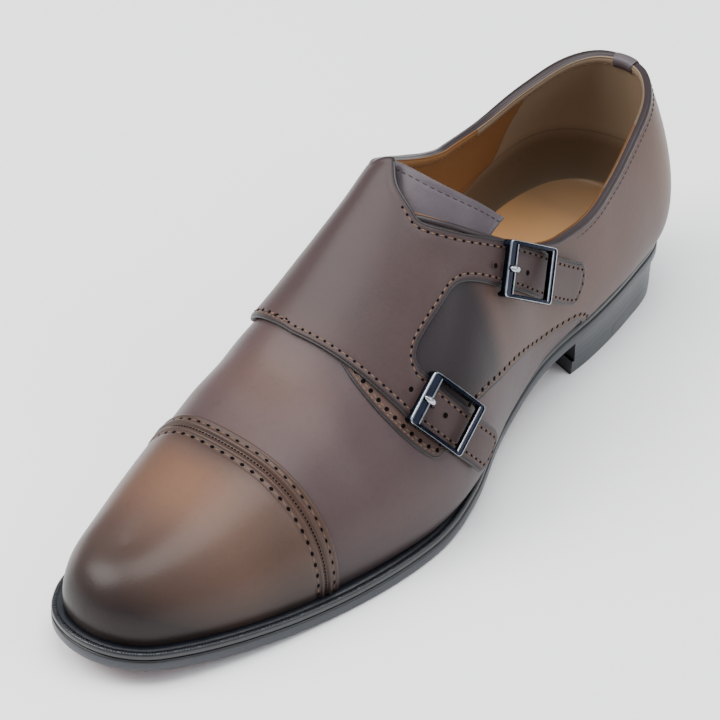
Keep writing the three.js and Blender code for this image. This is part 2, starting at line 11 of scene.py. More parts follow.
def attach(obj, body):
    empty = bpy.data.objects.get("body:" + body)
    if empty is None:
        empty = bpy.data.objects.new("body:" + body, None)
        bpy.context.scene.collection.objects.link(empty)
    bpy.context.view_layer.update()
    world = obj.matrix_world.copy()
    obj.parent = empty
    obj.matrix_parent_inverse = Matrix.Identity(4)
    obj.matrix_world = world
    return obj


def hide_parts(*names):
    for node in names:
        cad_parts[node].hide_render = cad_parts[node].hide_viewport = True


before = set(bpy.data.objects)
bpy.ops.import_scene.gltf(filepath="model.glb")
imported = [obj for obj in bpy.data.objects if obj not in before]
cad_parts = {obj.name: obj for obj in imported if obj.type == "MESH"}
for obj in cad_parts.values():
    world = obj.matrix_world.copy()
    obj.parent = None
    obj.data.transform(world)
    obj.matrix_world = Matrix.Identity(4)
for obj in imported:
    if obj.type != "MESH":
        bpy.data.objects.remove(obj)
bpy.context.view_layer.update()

# Everything is in millimetres in the shoe's own sizes until make_object turns it into metres.
# A station runs along the shoe from the heel (0) to the toe, and a side is 1 outer or -1 inner.

# ------------------------------------------------------------------ main sizes, millimetres
SOLE_T, WELT_T, WALL, GAP = 5.0, 2.6, 2.2, 0.3
HEEL_BREAST, HEEL_HOLLOW, LIFT_TOP = 77.0, 5.0, 6.1
THROAT = 139.0
FAN_START, RIDGE_END = 225.0, 274.0
HEEL_LEAN, HEEL_LEAN_END, SEAM_BLEND = 16.0, 75.0, 3.0
SHIFT = np.array([-5.7035, -1.5456, 0.0])     # from the last's own origin to the shared frame's
TUCK = 0.6          # how far the foot of the upper and the cap goes down into the welt
FOOT_GAP = 0.6      # how far above the welt the overlaid leather ends
TOP_DROP = 0.3      # how far below the topline the overlaid leather ends

SOLE_EDGE = np.array([
    (0, 0.5), (4, 14.5), (16, 26), (38, 31), (65, 33.5), (98, 33), (130, 39), (158, 49),
    (180, 53), (205, 51.5), (235, 44.8), (262, 36), (282, 27), (295, 18.5), (302, 7.5),
    (303.5, -6), (299, -18.5), (288, -27.5), (268, -34), (242, -40.5), (217, -44.5),
    (195, -43.5), (170, -36), (145, -26.5), (118, -23), (92, -25.5), (62, -31),
    (36, -32.3), (15, -27), (4, -16.3)], float)
SOLE_RISE = np.array([
    (0, 19), (40, 18), (75, 16), (100, 12.8), (120, 8.8), (140, 5.3), (160, 2.4),
    (176, 0.5), (186, 0), (222, 0), (240, 0.7), (260, 2.4), (280, 4.7), (304, 8.4)], float)
FEATHER_INSET = np.array([
    (0, 2), (60, 2), (90, 1), (130, 0.8), (160, 2.2), (185, 4), (210, 5), (304, 6)], float)
# along, top, ridge, leanOut, leanIn, roundOut, roundIn, bellyOut, bellyIn
LAST = np.array([
    (0, 110, -2, 1.30, 1.30, 0.95, 0.95, 5.4, 5.4),
    (6, 111.4, -1.8, 1.40, 1.40, 0.95, 0.95, 5.6, 5.6),
    (12, 112.6, -1.6, 1.50, 1.50, 0.95, 0.95, 5.8, 5.8),
    (40, 117, -1, 1.60, 1.55, 0.95, 0.95, 6.2, 6.0),
    (80, 121, -1, 0.85, 0.85, 0.95, 0.95, 5.4, 5.1),
    (120, 119, -4.5, 0.80, 0.76, 0.92, 0.95, 5.5, 7.0),
    (150, 100, -6.5, 0.85, 0.80, 0.90, 0.95, 5.0, 7.0),
    (175, 80.5, -6, 0.85, 0.80, 0.90, 0.92, 3.7, 4.5),
    (200, 63.5, -6, 0.82, 0.78, 0.88, 0.88, 2.5, 2.0),
    (225, 52.5, -6, 0.78, 0.76, 0.85, 0.85, 1.5, 1.0),
    (250, 45, -5, 0.74, 0.74, 0.82, 0.82, 1.0, 0.8),
    (266, 40.2, -3.4, 0.715, 0.715, 0.808, 0.808, 0.9, 0.8),
    (276, 37, -2.5, 0.70, 0.70, 0.80, 0.80, 0.8, 0.8)], float)
# along, outer, inner
TOPLINE = np.array([
    (0, 88, 88), (6, 87.4, 87.4), (12, 86.2, 86.2), (30, 81.5, 79.5), (55, 74.8, 74.8),
    (80, 70.5, 78), (92, 71, 82.5), (105, 75, 89), (122, 86, 98.5)], float)


# ------------------------------------------------------------------ curves and the last
def unit(vectors):
    return vectors / (np.linalg.norm(vectors, axis=-1, keepdims=True) + 1e-9)


def eased(count):
    """Numbers from 0 to 1 that lie closer together at both ends."""
    return 0.5 - 0.5 * np.cos(np.linspace(0, math.pi, count))


def smooth(x, low, high):
    """0 below low, 1 above high, and a soft step between."""
    t = np.clip((x - low) / (high - low), 0, 1)
    return t * t * (3 - 2 * t)


def table(x, y):
    """Monotone cubic through a table's rows, for arrays."""
    h = np.diff(x)
    slope = np.diff(y) / h
    tangent = np.zeros(len(x))
    tangent[0], tangent[-1] = slope[0], slope[-1]
    for k in range(1, len(x) - 1):
        if slope[k - 1] * slope[k] > 0:
            a, b = 2 * h[k] + h[k - 1], h[k] + 2 * h[k - 1]
            tangent[k] = (a + b) / (a / slope[k - 1] + b / slope[k])

    def value(at):
        s = np.clip(np.asarray(at, float), x[0], x[-1])
        k = np.clip(np.searchsorted(x, s, side="right") - 1, 0, len(x) - 2)
        t = (s - x[k]) / h[k]
        return (y[k] * (1 + 2 * t) * (1 - t) ** 2 + tangent[k] * h[k] * t * (1 - t) ** 2
                + y[k + 1] * t * t * (3 - 2 * t) + tangent[k + 1] * h[k] * t * t * (t - 1))
    return value


def spline(points, closed=True, steps=14):
    """Centripetal Catmull-Rom through 2-D points."""
    p = np.asarray(points, float)
    if closed:
        p0, p1, p2, p3 = np.roll(p, 1, 0), p, np.roll(p, -1, 0), np.roll(p, -2, 0)
    else:
        full = np.vstack([2 * p[0] - p[1], p, 2 * p[-1] - p[-2]])
        p0, p1, p2, p3 = full[:-3], full[1:-2], full[2:-1], full[3:]
    gap = lambda a, b: np.maximum(np.linalg.norm(b - a, axis=1) ** 0.5, 1e-6)
    t0 = np.zeros(len(p1))
    t1 = t0 + gap(p0, p1)
    t2 = t1 + gap(p1, p2)
    t3 = t2 + gap(p2, p3)
    u = np.linspace(0, 1, steps, endpoint=False)
    t = (t1[:, None] + (t2 - t1)[:, None] * u[None])[..., None]
    t0, t1, t2, t3 = (q[:, None, None] for q in (t0, t1, t2, t3))
    p0, p1, p2, p3 = (q[:, None, :] for q in (p0, p1, p2, p3))
    a1 = (t1 - t) / (t1 - t0) * p0 + (t - t0) / (t1 - t0) * p1
    a2 = (t2 - t) / (t2 - t1) * p1 + (t - t1) / (t2 - t1) * p2
    a3 = (t3 - t) / (t3 - t2) * p2 + (t - t2) / (t3 - t2) * p3
    b1 = (t2 - t) / (t2 - t0) * a1 + (t - t0) / (t2 - t0) * a2
    b2 = (t3 - t) / (t3 - t1) * a2 + (t - t1) / (t3 - t1) * a3
    out = ((t2 - t) / (t2 - t1) * b1 + (t - t1) / (t2 - t1) * b2).reshape(-1, 2)
    return out if closed else np.vstack([out, p[-1:]])


sole_rise = table(SOLE_RISE[:, 0], SOLE_RISE[:, 1])
feather_inset = table(FEATHER_INSET[:, 0], FEATHER_INSET[:, 1])
TOP, RIDGE = (table(LAST[:, 0], LAST[:, k]) for k in (1, 2))
LEAN, ROUND, BELLY = ({1: table(LAST[:, 0], LAST[:, k]), -1: table(LAST[:, 0], LAST[:, k + 1])}
                      for k in (3, 5, 7))
EDGE = spline(SOLE_EDGE)
LENGTH = EDGE[:, 0].max() - EDGE[:, 0].min()


def inward(loop):
    """Unit normals that point into a closed outline."""
    turn = unit(np.roll(loop, -1, 0) - np.roll(loop, 1, 0))
    area = np.sum(loop[:, 0] * np.roll(loop[:, 1], -1) - np.roll(loop[:, 0], -1) * loop[:, 1])
    return np.stack([-turn[:, 1], turn[:, 0]], 1) * np.sign(area)


def inset_outline(loop, amount):
    return loop + inward(loop) * np.reshape(amount, (-1, 1))


class Sides:
    """Outer and inner side of a closed outline: x across for a station."""

    def __init__(self, points):
        back, toe = np.argmin(points[:, 0]), np.argmax(points[:, 0])
        ring = np.roll(points, -back, 0)
        turn = (toe - back) % len(points)
        outer = ring[:turn + 1]
        inner = np.vstack([ring[turn:], ring[:1]])[::-1]
        self.run = {1: outer, -1: inner}
        self.start, self.end = points[back, 0], points[toe, 0]

    def across(self, along, side):
        run = self.run[side]
        return np.interp(along, np.maximum.accumulate(run[:, 0]), run[:, 1])


@functools.lru_cache(None)
def feather(depth):
    """Line where the upper meets the welt, that much inside the leather's outer face."""
    return Sides(inset_outline(EDGE, feather_inset(EDGE[:, 0]) + depth))


def place(along, across, height):
    """Points in the shared frame."""
    along, across, height = np.broadcast_arrays(along, across, height)
    return np.stack([across, LENGTH / 2 - along, height], -1) + SHIFT


def feather_height(along):
    return sole_rise(along) + SOLE_T + WELT_T + GAP


def ridge_station(along, edge, depth):
    """Station at which a section of the last meets its ridge: they fan out over the toe."""
    end = RIDGE_END - depth
    t = np.clip((along - FAN_START) / (edge.end - FAN_START), 0, 1)
    pace = (edge.end - FAN_START) / (end - FAN_START)
    return np.where(along <= FAN_START, along,
                    FAN_START + (end - FAN_START) * (pace * t + (1 - pace) * t * t))


def last_point(along, side, rise, depth=0.0):
    """Skin of the last: rise goes from 0 at the welt to 1 at the ridge."""
    along, rise = np.broadcast_arrays(np.asarray(along, float), np.asarray(rise, float))
    edge = feather(depth)
    foot = edge.across(along, side)
    ridge_at = ridge_station(along, edge, depth)
    low = feather_height(along)
    high = TOP(ridge_at) - depth
    angle = rise * math.pi / 2
    over = 1 - np.maximum(np.cos(angle), 0) ** LEAN[side](ridge_at)
    up = np.maximum(np.sin(angle), 0) ** ROUND[side](ridge_at)
    before, after = np.maximum(along - 1, edge.start), np.minimum(along + 1, edge.end)
    ends = np.clip(np.minimum(along - edge.start, edge.end - along), 0, SEAM_BLEND) / SEAM_BLEND
    run = edge.across(after, side) - edge.across(before, side)
    ahead = (after - before) * ends
    belly = BELLY[side](along) * np.sin(math.pi * up ** 0.55) / (np.hypot(run, ahead) + 1e-9)
    lean = HEEL_LEAN * np.maximum(1 - along / HEEL_LEAN_END, 0) ** 2 * rise * rise
    return place(along + (ridge_at - along) * over - side * run * belly + lean,
                 foot + (RIDGE(ridge_at) - foot) * over + side * ahead * belly,
                 low + (high - low) * up)


# The outer quarter runs further forward below the flap than the inner one.
THROATS = {1: 151.0, -1: THROAT}
OUTER_FRONT = [(134, 94.5), (140, 98.4), (146, 100.6)]
TOP_ROWS = {1: np.array([(r[0], r[1]) for r in TOPLINE] + OUTER_FRONT
                        + [(THROATS[1], float(TOP(THROATS[1])))]),
            -1: np.array([(r[0], r[2]) for r in TOPLINE] + [(THROAT, float(TOP(THROAT)))])}
topline = {side: table(rows[:, 0], rows[:, 1]) for side, rows in TOP_ROWS.items()}


def topline_rise(along, side, depth=0.0, drop=0.0):
    """Rise at which a section reaches the topline, less a drop in millimetres."""
    along = np.asarray(along, float)
    low = feather_height(along)
    high = TOP(along) - depth
    share = np.clip((topline[side](along) - drop - low) / (high - low), 0, 1)
    rise = np.arcsin(share ** (1 / ROUND[side](along))) * 2 / math.pi
    return np.where(along >= THROATS[side], 1.0, rise)


# Pattern space: a runs along the shoe (the station, opened out round the heel)
# and g is the girth from the ridge, positive on the outer side.
HEEL_R = 33.0
START = feather(0).start


def a_of(s):
    """Place along the pattern for a station."""
    s = np.asarray(s, float)
    round_part = HEEL_R * np.arccos(np.clip(1 - (s - START) / HEEL_R, -1, 1))
    return np.where(s - START < HEEL_R, round_part, s - START - HEEL_R + HEEL_R * math.pi / 2)


def s_of(a):
    """Station for a place along the pattern."""
    a = np.asarray(a, float)
    bend = HEEL_R * (1 - np.cos(np.clip(a, 0, HEEL_R * math.pi / 2) / HEEL_R))
    return START + np.where(a < HEEL_R * math.pi / 2, bend, a - HEEL_R * (math.pi / 2 - 1))


A_GRID = np.linspace(0, float(a_of(feather(0).end - 0.05)), 640)
G_GRID = np.linspace(0, 150, 301)
RISE_AT, FOOT_GIRTH = {}, {}


def measure_girths(side):
    v = np.linspace(1, 0, 161)
    p = last_point(s_of(A_GRID)[:, None], side, v[None, :])
    girth = np.concatenate([np.zeros((len(A_GRID), 1)),
                            np.cumsum(np.linalg.norm(np.diff(p, axis=1), axis=-1), 1)], 1)
    RISE_AT[side] = np.array([np.interp(G_GRID, row, v) for row in girth])
    FOOT_GIRTH[side] = girth[:, -1]


measure_girths(1)
measure_girths(-1)


def foot_girth(a, side):
    """Girth from the ridge down to the welt."""
    return np.interp(a, A_GRID, FOOT_GIRTH[side])


def top_girth(s, side, drop=0.0):
    """Girth from the ridge down to the topline."""
    s = np.atleast_1d(np.asarray(s, float))
    rise = topline_rise(s, side, 0.0, drop)
    out = []
    for k, r in zip(s, rise):
        v = np.linspace(1, r, 60)
        q = last_point(np.full(60, k), side, v)
        out.append(np.linalg.norm(np.diff(q, axis=0), axis=1).sum())
    return np.array(out)


def pattern_point(a, g):
    """Point of the skin at a place of the pattern."""
    a, g = np.broadcast_arrays(np.asarray(a, float), np.asarray(g, float))
    out = np.zeros(a.shape + (3,))
    i = np.clip(a / (A_GRID[1] - A_GRID[0]), 0, len(A_GRID) - 1.001)
    i0 = i.astype(int)
    fi = i - i0
    for side in (1, -1):
        pick = (g >= 0) if side > 0 else (g < 0)
        if not pick.any():
            continue
        j = np.clip(np.abs(g[pick]) / (G_GRID[1] - G_GRID[0]), 0, len(G_GRID) - 1.001)
        j0 = j.astype(int)
        fj = j - j0
        t, k, f = RISE_AT[side], i0[pick], fi[pick]
        rise = ((t[k, j0] * (1 - fj) + t[k, j0 + 1] * fj) * (1 - f)
                + (t[k + 1, j0] * (1 - fj) + t[k + 1, j0 + 1] * fj) * f)
        out[pick] = last_point(s_of(a[pick]), side, rise)
    return out


def pattern_frame(a, g, step=0.8):
    """Point, rates along a and down the girth, and outward normal."""
    a, g = np.broadcast_arrays(np.asarray(a, float), np.asarray(g, float))
    low, high = np.maximum(a - step, 0.02), np.minimum(a + step, A_GRID[-1])
    da = (pattern_point(high, g) - pattern_point(low, g)) / (high - low)[..., None]
    dg = (pattern_point(a, g + step) - pattern_point(a, g - step)) / (2 * step)
    return pattern_point(a, g), da, dg, unit(np.cross(da, dg))


def shoe_axes(p):
    """Station, distance across and height of points in the shared frame."""
    return LENGTH / 2 - (p[..., 1] - SHIFT[1]), p[..., 0] - SHIFT[0], p[..., 2]


# Soft waves of the leather: station, width, depth, slant with x, height at which they begin.
CREASES = ((203, 7, 0.35, 0.10, 24), (214, 6, -0.22, 0.06, 22), (195, 6, -0.2, 0.14, 30),
           (120, 10, 0.35, -0.3, 30), (98, 9, -0.3, -0.25, 34))


def creases(p):
    """Height that the waves across the vamp and below the ankle add, in millimetres."""
    s, _, z = shoe_axes(p)
    wave = np.zeros_like(z)
    for at, width, depth, slant, low in CREASES:
        d = (s - at - slant * p[..., 0]) / width
        wave -= depth * np.exp(-d * d) * np.clip((z - low) / 12, 0, 1)
    return wave


# ------------------------------------------------------------------ mesh helpers
def make_object(name, points_mm, faces, material, smooth=True, attributes=None, face_material=None,
                weld=False):
    """A visible piece that rides on the shoe's one body."""
    mesh = bpy.data.meshes.new(name)
    mesh.from_pydata((np.asarray(points_mm) * 0.001).tolist(), [], faces)
    mesh.update()
    piece = bpy.data.objects.new(name, mesh)
    bpy.context.scene.collection.objects.link(piece)
    for each in (material if isinstance(material, (list, tuple)) else [material]):
        mesh.materials.append(each)
    if face_material is not None:
        mesh.polygons.foreach_set("material_index", face_material)
    if smooth:
        mesh.polygons.foreach_set("use_smooth", [True] * len(mesh.polygons))
    for key, values in (attributes or {}).items():
        layer = mesh.attributes.new(key, "FLOAT", "POINT")
        layer.data.foreach_set("value", np.asarray(values, float).ravel())
    if weld:
        joined = bmesh.new()
        joined.from_mesh(mesh)
        bmesh.ops.remove_doubles(joined, verts=joined.verts, dist=2e-5)
        joined.to_mesh(mesh)
        joined.free()
    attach(piece, "root")
    return piece


def grid_faces(rows, columns, base=0, flip=False, wrap=False, close=False):
    """Quads of a grid: wrap joins its last column to the first, close its last row."""
    faces = []
    for i in range(rows if close else rows - 1):
        here, ahead = base + i * columns, base + (i + 1) % rows * columns
        for j in range(columns if wrap else columns - 1):
            k = (j + 1) % columns
            loop = [here + j, ahead + j, ahead + k, here + k]
            faces.append(loop[::-1] if flip else loop)
    return faces


def both_sides(grids, outer_flipped=False):
    """Points and faces of the outer and inner half, given as a grid of points for each."""
    points, faces, base = [], [], 0
    for side, p in grids.items():
        points.append(p.reshape(-1, 3))
        faces += grid_faces(*p.shape[:2], base, (side > 0) == outer_flipped)
        base += len(points[-1])
    return np.vstack(points), faces


def skin_normal(p, side):
    """Outward normals of one half of the skin, given as a grid of points."""
    return unit(np.cross(np.gradient(p, axis=1), np.gradient(p, axis=0)) * side)


def leather_data(count, edge=8.0, burnish_and_shade=0.0, painted_highlight=0.0, **more):
    """Values the leather materials read at each point, each an array or one number."""
    values = {"edge": edge, "burnish_and_shade": burnish_and_shade, "painted_highlight": painted_highlight, **more}
    return {key: np.broadcast_to(value, count) for key, value in values.items()}


def resample(points, spacing, closed=True):
    """Points spaced evenly along a line."""
    p = np.asarray(points, float)
    q = np.vstack([p, p[:1]]) if closed else p
    d = np.concatenate([[0], np.cumsum(np.linalg.norm(np.diff(q, axis=0), axis=1))])
    n = max(int(round(d[-1] / spacing)), 3)
    t = np.linspace(0, d[-1], n, endpoint=False) if closed else np.linspace(0, d[-1], n + 1)
    return np.stack([np.interp(t, d, q[:, k]) for k in range(q.shape[1])], 1)


def inside(points, loop):
    """Which points lie in a closed outline."""
    x, y = points[:, 0][:, None], points[:, 1][:, None]
    a, b = loop, np.roll(loop, -1, 0)
    crosses = ((a[:, 1] > y) != (b[:, 1] > y)) & (
        x < (b[:, 0] - a[:, 0]) * (y - a[:, 1]) / (b[:, 1] - a[:, 1] + 1e-12) + a[:, 0])
    return crosses.sum(1) % 2 == 1


def edge_distance(points, loop):
    """Distance from each point to a closed outline."""
    a, b = loop, np.roll(loop, -1, 0)
    ab = b - a
    out = np.empty(len(points))
    for k in range(0, len(points), 2000):
        q = points[k:k + 2000][:, None]
        t = np.clip(((q - a) * ab).sum(-1) / ((ab * ab).sum(-1) + 1e-12), 0, 1)
        out[k:k + 2000] = np.sqrt((((q - a) - t[..., None] * ab) ** 2).sum(-1)).min(1)
    return out


def triangulated(loop, rings, spacing):
    """Points and triangles filling a loop, with rows of points at the given insets."""
    points = [loop]
    for inset in rings:
        q = inset_outline(loop, inset)
        keep = inside(q, loop)
        q = q[keep]
        points.append(q[edge_distance(q, loop) > inset * 0.9])
    low, high = loop.min(0), loop.max(0)
    xs = np.arange(low[0], high[0], spacing)
    ys = np.arange(low[1], high[1], spacing * 0.87)
    gx, gy = np.meshgrid(xs, ys)
    gx = gx + (np.arange(len(ys)) % 2)[:, None] * spacing / 2
    q = np.stack([gx.ravel(), gy.ravel()], 1)
    q = q[inside(q, loop)]
    q = q[edge_distance(q, loop) > (max(rings) if rings else 0) + spacing * 0.45]
    points.append(q)
    everything = np.vstack(points)
    n = len(loop)
    edges = [(k, (k + 1) % n) for k in range(n)]
    verts, _, faces, _, _, _ = delaunay_2d_cdt(
        [Vector(v) for v in everything.tolist()], edges, [list(range(n))], 1, 1e-4)
    verts = np.array([tuple(v) for v in verts])
    return verts, [list(f) for f in faces]


def outline(runs, spacing):
    """A closed outline from its runs: a run of three or more points is a smooth curve."""
    out = []
    for run in runs:
        run = np.asarray(run, float)
        curve = spline(run, closed=False, steps=10) if len(run) > 2 else run
        out.append(curve[:-1] if np.allclose(curve[-1], np.asarray(runs[0][0])) else curve)
    flat = np.vstack(out)
    keep = np.concatenate([[True], np.linalg.norm(np.diff(flat, axis=0), axis=1) > 1e-6])
    return resample(flat[keep], spacing)


def pattern(points):
    """Rows of (station, girth) to rows of (a, girth)."""
    p = np.asarray(points, float)
    return np.stack([a_of(p[:, 0]), p[:, 1]], 1)


def burnish_and_shade(p):
    """0 where the leather is pale and warm, 1 where it is dark: partly real burnish, partly painted
    shade on the lower sides.
    """
    s, x, z = shoe_axes(p)
    near_welt = np.clip(1 - (z - feather_height(s)) / 20, 0, 1) ** 1.35
    toe = 0.8 * np.clip((s - 257) / 36, 0, 1) ** 1.25
    cap_side = 0.3 * np.exp(-(((s - 243) / 16) ** 2)) * smooth(np.abs(x + 3), 14, 36)
    heel = np.clip(1 - s / 22, 0, 1) ** 1.5 * 0.15
    return np.clip(0.75 * near_welt * np.clip((s - 130) / 60, 0.3, 1) + toe + cap_side + heel, 0, 1)


def painted_highlight_at(p):
    """Painted highlights: warm pale spots where the light falls on the top of the cap, the front of
    the vamp and the heel.
    """
    s, x, z = shoe_axes(p)
    cap = np.exp(-(((s - 250) / 17) ** 2 + ((x + 2) / 20) ** 2))
    vamp = 0.35 * np.exp(-(((s - 205) / 14) ** 2 + ((x + 4) / 22) ** 2))
    heel = 0.5 * np.exp(-(((s - 14) / 18) ** 2 + ((z - 62) / 22) ** 2))
    return cap + vamp + heel


def inset_painted_shade(p):
    """Painted shade and reflection: the darker, bluer look of the leather between the two straps.
    """
    s, _, z = shoe_axes(p)
    return 0.8 * smooth(s, 134, 146) * (1 - smooth(s, 172, 184)) * smooth(z, 30, 56)


def leather_panel(name, runs, top, material, spacing=2.0, boundary=1.0, stitch=(2.2,),
                  radius=0.6, groove=0.12, thickness=None, shade=None):
    """A cut piece of leather on the last: top gives its height, its edge is rounded over."""
    loop = outline([pattern(run) for run in runs], boundary)
    rings = [0.12, 0.35, 0.65, 1.05] + [d + off for d in stitch for off in (-0.45, 0.0, 0.45)]
    flat, faces = triangulated(loop, sorted(rings), spacing)
    d = edge_distance(flat, loop)
    at_edge = d < 0.03
    height = top(flat[:, 0], flat[:, 1])
    height = height - radius + np.sqrt(np.maximum(radius ** 2 - np.maximum(radius - d, 0) ** 2, 0))
    for at in stitch:
        height = height - groove * np.exp(-((d - at) / 0.38) ** 2)
    full = top(flat[:, 0], flat[:, 1])
    foot = -0.3 if thickness is None else full - thickness
    height = np.where(at_edge, foot, height)
    point, _, _, normal = pattern_frame(flat[:, 0], flat[:, 1])
    shaped = point + normal * (height + creases(point))[:, None]
    tri = np.array([f for f in faces if len(f) == 3])
    q = shaped[tri]
    facing = (np.cross(q[:, 1] - q[:, 0], q[:, 2] - q[:, 0]) * normal[tri[:, 0]]).sum(1)
    tri[facing < 0] = tri[facing < 0][:, ::-1]
    dark = burnish_and_shade(shaped) if shade is None else np.maximum(burnish_and_shade(shaped), shade(shaped))
    d = np.minimum(d, 8.0)
    if thickness is not None:
        under = point + normal * (foot + creases(point))[:, None]
        tri = np.vstack([tri, tri[:, ::-1] + len(shaped)])
        shaped = np.vstack([shaped, under])
        d, dark = np.concatenate([d, 0 * d]), np.concatenate([dark, dark])
    return make_object(name, shaped, tri.tolist(), material, True,
                       leather_data(len(shaped), d, dark, painted_highlight_at(shaped))), loop


# ------------------------------------------------------------------ materials
class Shader:
    """A small helper to lay out a node tree from expressions."""

    def __init__(self, name):
        self.material = bpy.data.materials.new(name)
        self.material.use_nodes = True
        self.tree = self.material.node_tree
        self.shader = self.tree.nodes["Principled BSDF"]

    def feed(self, socket, value):
        if isinstance(value, bpy.types.NodeSocket):
            self.tree.links.new(value, socket)
        else:
            socket.default_value = value

    def math(self, operation, a, b=None, c=None, clamp=False):
        made = self.tree.nodes.new("ShaderNodeMath")
        made.operation, made.use_clamp = operation, clamp
        for socket, value in zip(made.inputs, (a, b, c)):
            if value is not None:
                self.feed(socket, value)
        return made.outputs[0]

    def mix(self, factor, a, b):
        made = self.tree.nodes.new("ShaderNodeMix")
        made.data_type = "RGBA"
        self.feed(made.inputs[0], factor)
        self.feed(made.inputs[6], a)
        self.feed(made.inputs[7], b)
        return made.outputs[2]

    def attribute(self, name):
        made = self.tree.nodes.new("ShaderNodeAttribute")
        made.attribute_name = name
        return made.outputs["Fac"]

    def texture(self, kind, output, vector=None, **inputs):
        """A node fed with object coordinates, or with the vector given."""
        made = self.tree.nodes.new(kind)
        self.feed(made.inputs["Vector"],
                  vector or self.tree.nodes.new("ShaderNodeTexCoord").outputs["Object"])
        for key, value in inputs.items():
            made.inputs[key].default_value = value
        return made.outputs[output]

    def noise(self, scale, detail, rough, vector=None):
        return self.texture("ShaderNodeTexNoise", "Fac", vector, Scale=scale, Detail=detail,
                            Roughness=rough)

    def ramp(self, factor, low, high):
        """Black below low, white above high."""
        made = self.tree.nodes.new("ShaderNodeValToRGB")
        self.feed(made.inputs[0], factor)
        for stop, at in zip(made.color_ramp.elements, (low, high)):
            stop.position = at
        return made.outputs[0]

    def bump(self, height, distance, strength=1.0, normal=None):
        made = self.tree.nodes.new("ShaderNodeBump")
        self.feed(made.inputs["Height"], height)
        made.inputs["Distance"].default_value = distance
        made.inputs["Strength"].default_value = strength
        if normal is not None:
            self.feed(made.inputs["Normal"], normal)
        return made.outputs[0]

    def set(self, **values):
        for key, value in values.items():
            self.feed(self.shader.inputs[key.replace("_", " ")], value)
        return self.material


def rgb(r, g, b):
    """Linear colour from the usual 0-255 display values."""
    return tuple(((c / 255 + 0.055) / 1.055) ** 2.4 if c > 10 else c / 255 / 12.92
                 for c in (r, g, b)) + (1.0,)


# Each material mixes its colours by soft noise and by the values its pieces carry.
def leather(name, base, warm, dark, rough=0.42, coat=0.06, edge_dark=0.8):
    m = Shader(name)
    cloud = m.noise(14, 3, 0.55)
    fine = m.noise(420, 3, 0.6)
    colour = m.mix(m.ramp(cloud, 0.35, 0.72), base, warm)
    # Painted highlight first, then the darkening that is partly burnish and partly painted shade.
    colour = m.mix(m.math("MULTIPLY", m.attribute("painted_highlight"), 0.85, clamp=True), colour, PAINTED_HIGHLIGHT)
    burnish_shade_mix = m.math("ADD", m.attribute("burnish_and_shade"), m.math("MULTIPLY_ADD", cloud, 0.25, -0.125))
    colour = m.mix(m.math("MULTIPLY", burnish_shade_mix, 1.0, clamp=True), colour, dark)
    near = m.math("SUBTRACT", 1.15, m.attribute("edge"), clamp=True)
    colour = m.mix(m.math("MULTIPLY", near, edge_dark), colour, dark)
    colour = m.mix(m.math("MULTIPLY", m.math("SUBTRACT", fine, 0.5), 0.35), colour, dark)
    pores = m.texture("ShaderNodeTexVoronoi", "Distance", Scale=900)
    grain = m.math("ADD", m.math("MULTIPLY", pores, 0.6), m.math("MULTIPLY", fine, 0.6))
    soft = m.bump(m.noise(60, 3, 0.5), 0.0006, 0.25)
    normal = m.bump(grain, 0.00012, 0.30, soft)
    roughness = m.math("MULTIPLY_ADD", cloud, 0.16, rough - 0.08)
    return m.set(Base_Color=colour, Roughness=roughness, Normal=normal, Coat_Weight=coat,
                 Coat_Roughness=0.3, Specular_IOR_Level=0.2)


def plain(name, a, b, rough=0.5, scale=200.0, bump=0.0001, metallic=0.0, coat=0.0, stretch=None,
          rough_swing=0.12, shine=0.5):
    m = Shader(name)
    vector = m.texture("ShaderNodeMapping", "Vector", Scale=stretch) if stretch else None
    n = m.noise(scale, 4, 0.55, vector)
    colour = m.mix(m.ramp(n, 0.3, 0.7), a, b)
    roughness = m.math("MULTIPLY_ADD", n, rough_swing, rough - rough_swing / 2)
    return m.set(Base_Color=colour, Roughness=roughness, Normal=m.bump(n, bump, 0.5),
                 Metallic=metallic, Coat_Weight=coat, Coat_Roughness=0.15,
                 Specular_IOR_Level=shine)


def sole_paint(name):
    m = Shader(name)
    cloud, fine = m.noise(30, 4, 0.6), m.noise(260, 3, 0.6)
    colour = m.mix(m.ramp(cloud, 0.3, 0.7), rgb(82, 8, 26), rgb(108, 18, 40))
    rim = m.math("MULTIPLY_ADD", m.attribute("rim"), -0.22, 1.5, clamp=True)
    waist = m.math("MULTIPLY_ADD", m.attribute("along"), -0.018, 2.2, clamp=True)
    colour = m.mix(m.math("MULTIPLY", waist, 0.5), colour, rgb(34, 6, 14))
    colour = m.mix(rim, colour, rgb(14, 9, 13))
    colour = m.mix(m.math("MULTIPLY", m.math("GREATER_THAN", fine, 0.66), 0.15), colour,
                   rgb(140, 70, 82))
    return m.set(Base_Color=colour, Roughness=m.math("MULTIPLY_ADD", cloud, 0.16, 0.16),
                 Normal=m.bump(fine, 0.00008, 0.3), Coat_Weight=0.5, Coat_Roughness=0.12)


